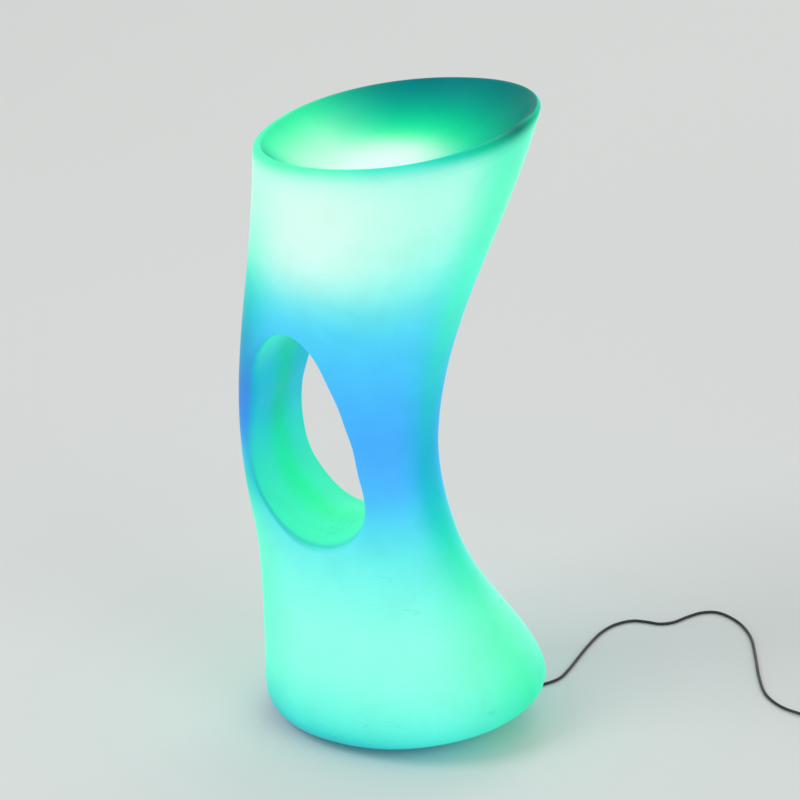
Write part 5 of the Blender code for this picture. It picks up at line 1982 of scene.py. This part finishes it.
    def adapter(self, palette: Palette) -> list[Any]:
        """Model the adapter with the seam between its two halves, and its pins.

        Args:
            palette: The finished materials.

        Returns:
            The adapter and its pins.
        """
        low, high = corners_of("adapter_body")
        size, middle = high - low, (low + high) / 2
        case = moved(slab(tuple(size), self.adapter_edge, 6), tuple(middle))
        thing = piece("mains_adapter", case, palette.get("black_abs"))
        band = bmesh.new()
        bmesh.ops.create_cube(band, size=1.0)
        bmesh.ops.scale(band, vec=(size.x * 1.1, self.seam_width, size.z * 1.1), verts=band.verts)
        inside = slab(tuple(size - Vector((1, 1, 1)) * self.seam_width * 2), self.adapter_edge, 4)
        ring = piece("seam_tool", band, palette.get("black_abs"))
        shaped(ring, [inside])
        tool = bmesh.new()
        tool.from_mesh(ring.data)
        bpy.data.objects.remove(ring)
        seam = moved(tool, (middle.x, high.y - size.y / 4, middle.z))
        shaped(thing, [seam])
        mount(thing, ["adapter_body"])
        made = [thing]
        for i in (1, 2):
            node = f"adapter_pin_{i}"
            near, far = corners_of(node)
            mid = middle_of(node)
            blade = moved(slab(tuple(far - near), self.pin_edge, 3), tuple(mid))
            pin = piece(f"mains_pin_{i}", blade, palette.get("nickel"))
            hole = rod(self.pin_hole, -0.01, 0.01, 0, 0, 32)
            across = moved(hole, (mid.x, far.y - self.pin_hole_in, mid.z), Matrix.Rotation(math.pi / 2, 3, "Y"))
            made.append(mount(shaped(pin, [across]), [node]))
        return made

    def tie(self, palette: Palette) -> Any:
        """Model the woven tie as a band that wraps the turns, with its overlapping end.

        Args:
            palette: The finished materials.

        Returns:
            The tie.
        """
        node = bpy.data.objects["coil_tie"]
        corners = [node.matrix_world @ v.co for v in node.data.vertices]
        cx, cy = self.coil_middle
        middle = sum((Vector((p.x, p.y, p.z)) for p in corners), Vector()) / len(corners)
        out = (Vector((middle.x, middle.y, 0)) - Vector((cx, cy, 0))).normalized()
        across = Vector((-out.y, out.x, 0))
        local = [(p.xy - Vector((cx, cy))).dot(out.xy) for p in corners]
        width = max((p.xy - middle.xy).dot(across.xy) for p in corners) * 2
        near, far = min(local), max(local)
        top = max(p.z for p in corners)
        size = (far - near, width, top)
        band = slab(size, self.tie_thick * self.tie_edge, 3)
        at = ((near + far) / 2, 0, top / 2)
        thing = piece("coil_strap", moved(band, at), palette.get("webbing"))
        hole = slab((size[0] - 2 * self.tie_thick, width * 2, size[2] - 2 * self.tie_thick), self.tie_thick, 4)
        shaped(thing, [moved(hole, at)])
        tail_size = size[0] * self.tail_length, width, self.tie_thick * self.tail_thick
        tail_at = at[0] + size[0] * self.tail_shift, 0, top + self.tie_thick * (self.tail_thick / 2)
        tail = moved(slab(tail_size, self.tie_thick * self.tail_edge, 2), tail_at)
        shaped(thing, [tail], "UNION")
        turn = Matrix.Translation((cx, cy, 0)) @ Matrix.Rotation(math.atan2(out.y, out.x), 4, "Z")
        thing.data.transform(turn)
        return mount(thing, ["coil_tie"])

    def build(self, palette: Palette) -> list[Any]:
        """Args:
            palette: The finished materials.

        Returns:
            The lead and all that is on it.
        """
        lead, length = self.lead(palette)
        on_it = [self.plug(palette), self.tie(palette), *self.reliefs(palette)]
        case = self.adapter(palette)
        log.info("lead of %.3f m", length)
        return [lead, *on_it, *case]


# The studio


@dataclass(frozen=True)
class Studio:
    """The pale floor, the soft lamps and the camera."""

    floor_size: float = 80.0
    # Pale matt floor
    floor_finish: Finish = Finish("studio_floor", "#e9eae8", 0.75, 1.5, 0.01, 0.006, patch_mm=900)
    sky_colour: str = "#eef0f0"
    sky_strength: float = 0.62
    sky_shown: float = 0.92
    camera_place: Point = (4.0196, 2.1511, 2.4157)
    camera_heading: float = math.radians(118)
    camera_drop: float = math.radians(23.9477)
    lens_mm: float = 195.7
    sensor_mm: float = 36.0
    clip: tuple[float, float] = (0.05, 200.0)
    lamps: tuple[tuple[str, Point, float, float], ...] = (
        ("key_lamp", (2.6, -2.4, 3.6), 2.4, 62.0),
        ("fill_lamp", (1.4, 4.2, 2.6), 3.0, 34.0),
        ("back_lamp", (-3.8, -0.8, 3.2), 2.6, 30.0),
    )
    aim: Point = (0.0, 0.0, 0.38)

    def floor(self) -> Any:
        """Make the floor, with a faint unevenness of its colour.

        Returns:
            The floor.
        """
        bm = bmesh.new()
        bmesh.ops.create_grid(bm, x_segments=4, y_segments=4, size=self.floor_size / 2)
        bmesh.ops.translate(bm, vec=(0, 0, -SEAM_GAP), verts=bm.verts)
        floor = piece("studio_floor", bm, self.floor_finish.material())
        return floor

    def lamp(self, name: str, place: Point, size: float, power: float) -> None:
        """Hang one square soft lamp that faces the stool.

        Args:
            name: Its name.
            place: Where it hangs.
            size: Length of its sides.
            power: Its power in watts.
        """
        data = bpy.data.lights.new(name, "AREA")
        data.shape, data.size, data.energy = "SQUARE", size, power
        thing = bpy.data.objects.new(name, data)
        thing.location = place
        thing.rotation_mode = "QUATERNION"
        thing.rotation_quaternion = (Vector(self.aim) - Vector(place)).to_track_quat("-Z", "Y")
        bpy.context.scene.collection.objects.link(thing)

    def sky(self) -> None:
        """Make the pale surroundings."""
        world = bpy.data.worlds.new("studio_air")
        world.use_nodes = True
        tree = world.node_tree
        tree.nodes.clear()
        path = add_node(tree, "ShaderNodeLightPath")
        shown = path.outputs["Is Camera Ray"]
        for ray in ("Is Glossy Ray", "Is Transmission Ray"):
            shown = add_node(tree, "ShaderNodeMath", {0: shown, 1: path.outputs[ray]}, operation="MAXIMUM").outputs[0]
        levels = {"Value": shown, "To Min": self.sky_strength, "To Max": self.sky_shown}
        strength = add_node(tree, "ShaderNodeMapRange", levels).outputs[0]
        colour = (*linear(self.sky_colour), 1)
        air = add_node(tree, "ShaderNodeBackground", {"Color": colour, "Strength": strength}).outputs[0]
        add_node(tree, "ShaderNodeOutputWorld", {"Surface": air})
        bpy.context.scene.world = world

    def camera(self) -> None:
        """Set the camera up at the photograph's angle."""
        data = bpy.data.cameras.new("photo_camera")
        data.sensor_width, data.lens = self.sensor_mm, self.lens_mm
        data.clip_start, data.clip_end = self.clip
        thing = bpy.data.objects.new("photo_camera", data)
        thing.location = self.camera_place
        thing.rotation_euler = (math.pi / 2 - self.camera_drop, 0, self.camera_heading)
        bpy.context.scene.collection.objects.link(thing)
        bpy.context.scene.camera = thing

    def build(self) -> None:
        """Set the whole studio up."""
        self.floor()
        for name, place, size, power in self.lamps:
            self.lamp(name, place, size, power)
        self.sky()
        self.camera()
        bpy.context.scene.view_settings.view_transform = "Standard"


def main() -> None:
    """Build the studio and the stool, and log the lead's length and the name of each piece."""
    logging.basicConfig(level=logging.INFO, format="%(name)s: %(message)s")
    Studio().build()
    palette = Palette(Finishes())
    made = list(ChargingLead().build(palette))
    made.append(MouldedBody().build(palette))
    made += FootPads().build(palette)
    made += ModuleFasteners().build(palette)
    made += LampModule().build(palette)
    made += LightMast().build(palette)
    InnerParts().build(palette)
    for thing in made:
        log.info("%s", thing.name)


if __name__ == "__main__":
    main()
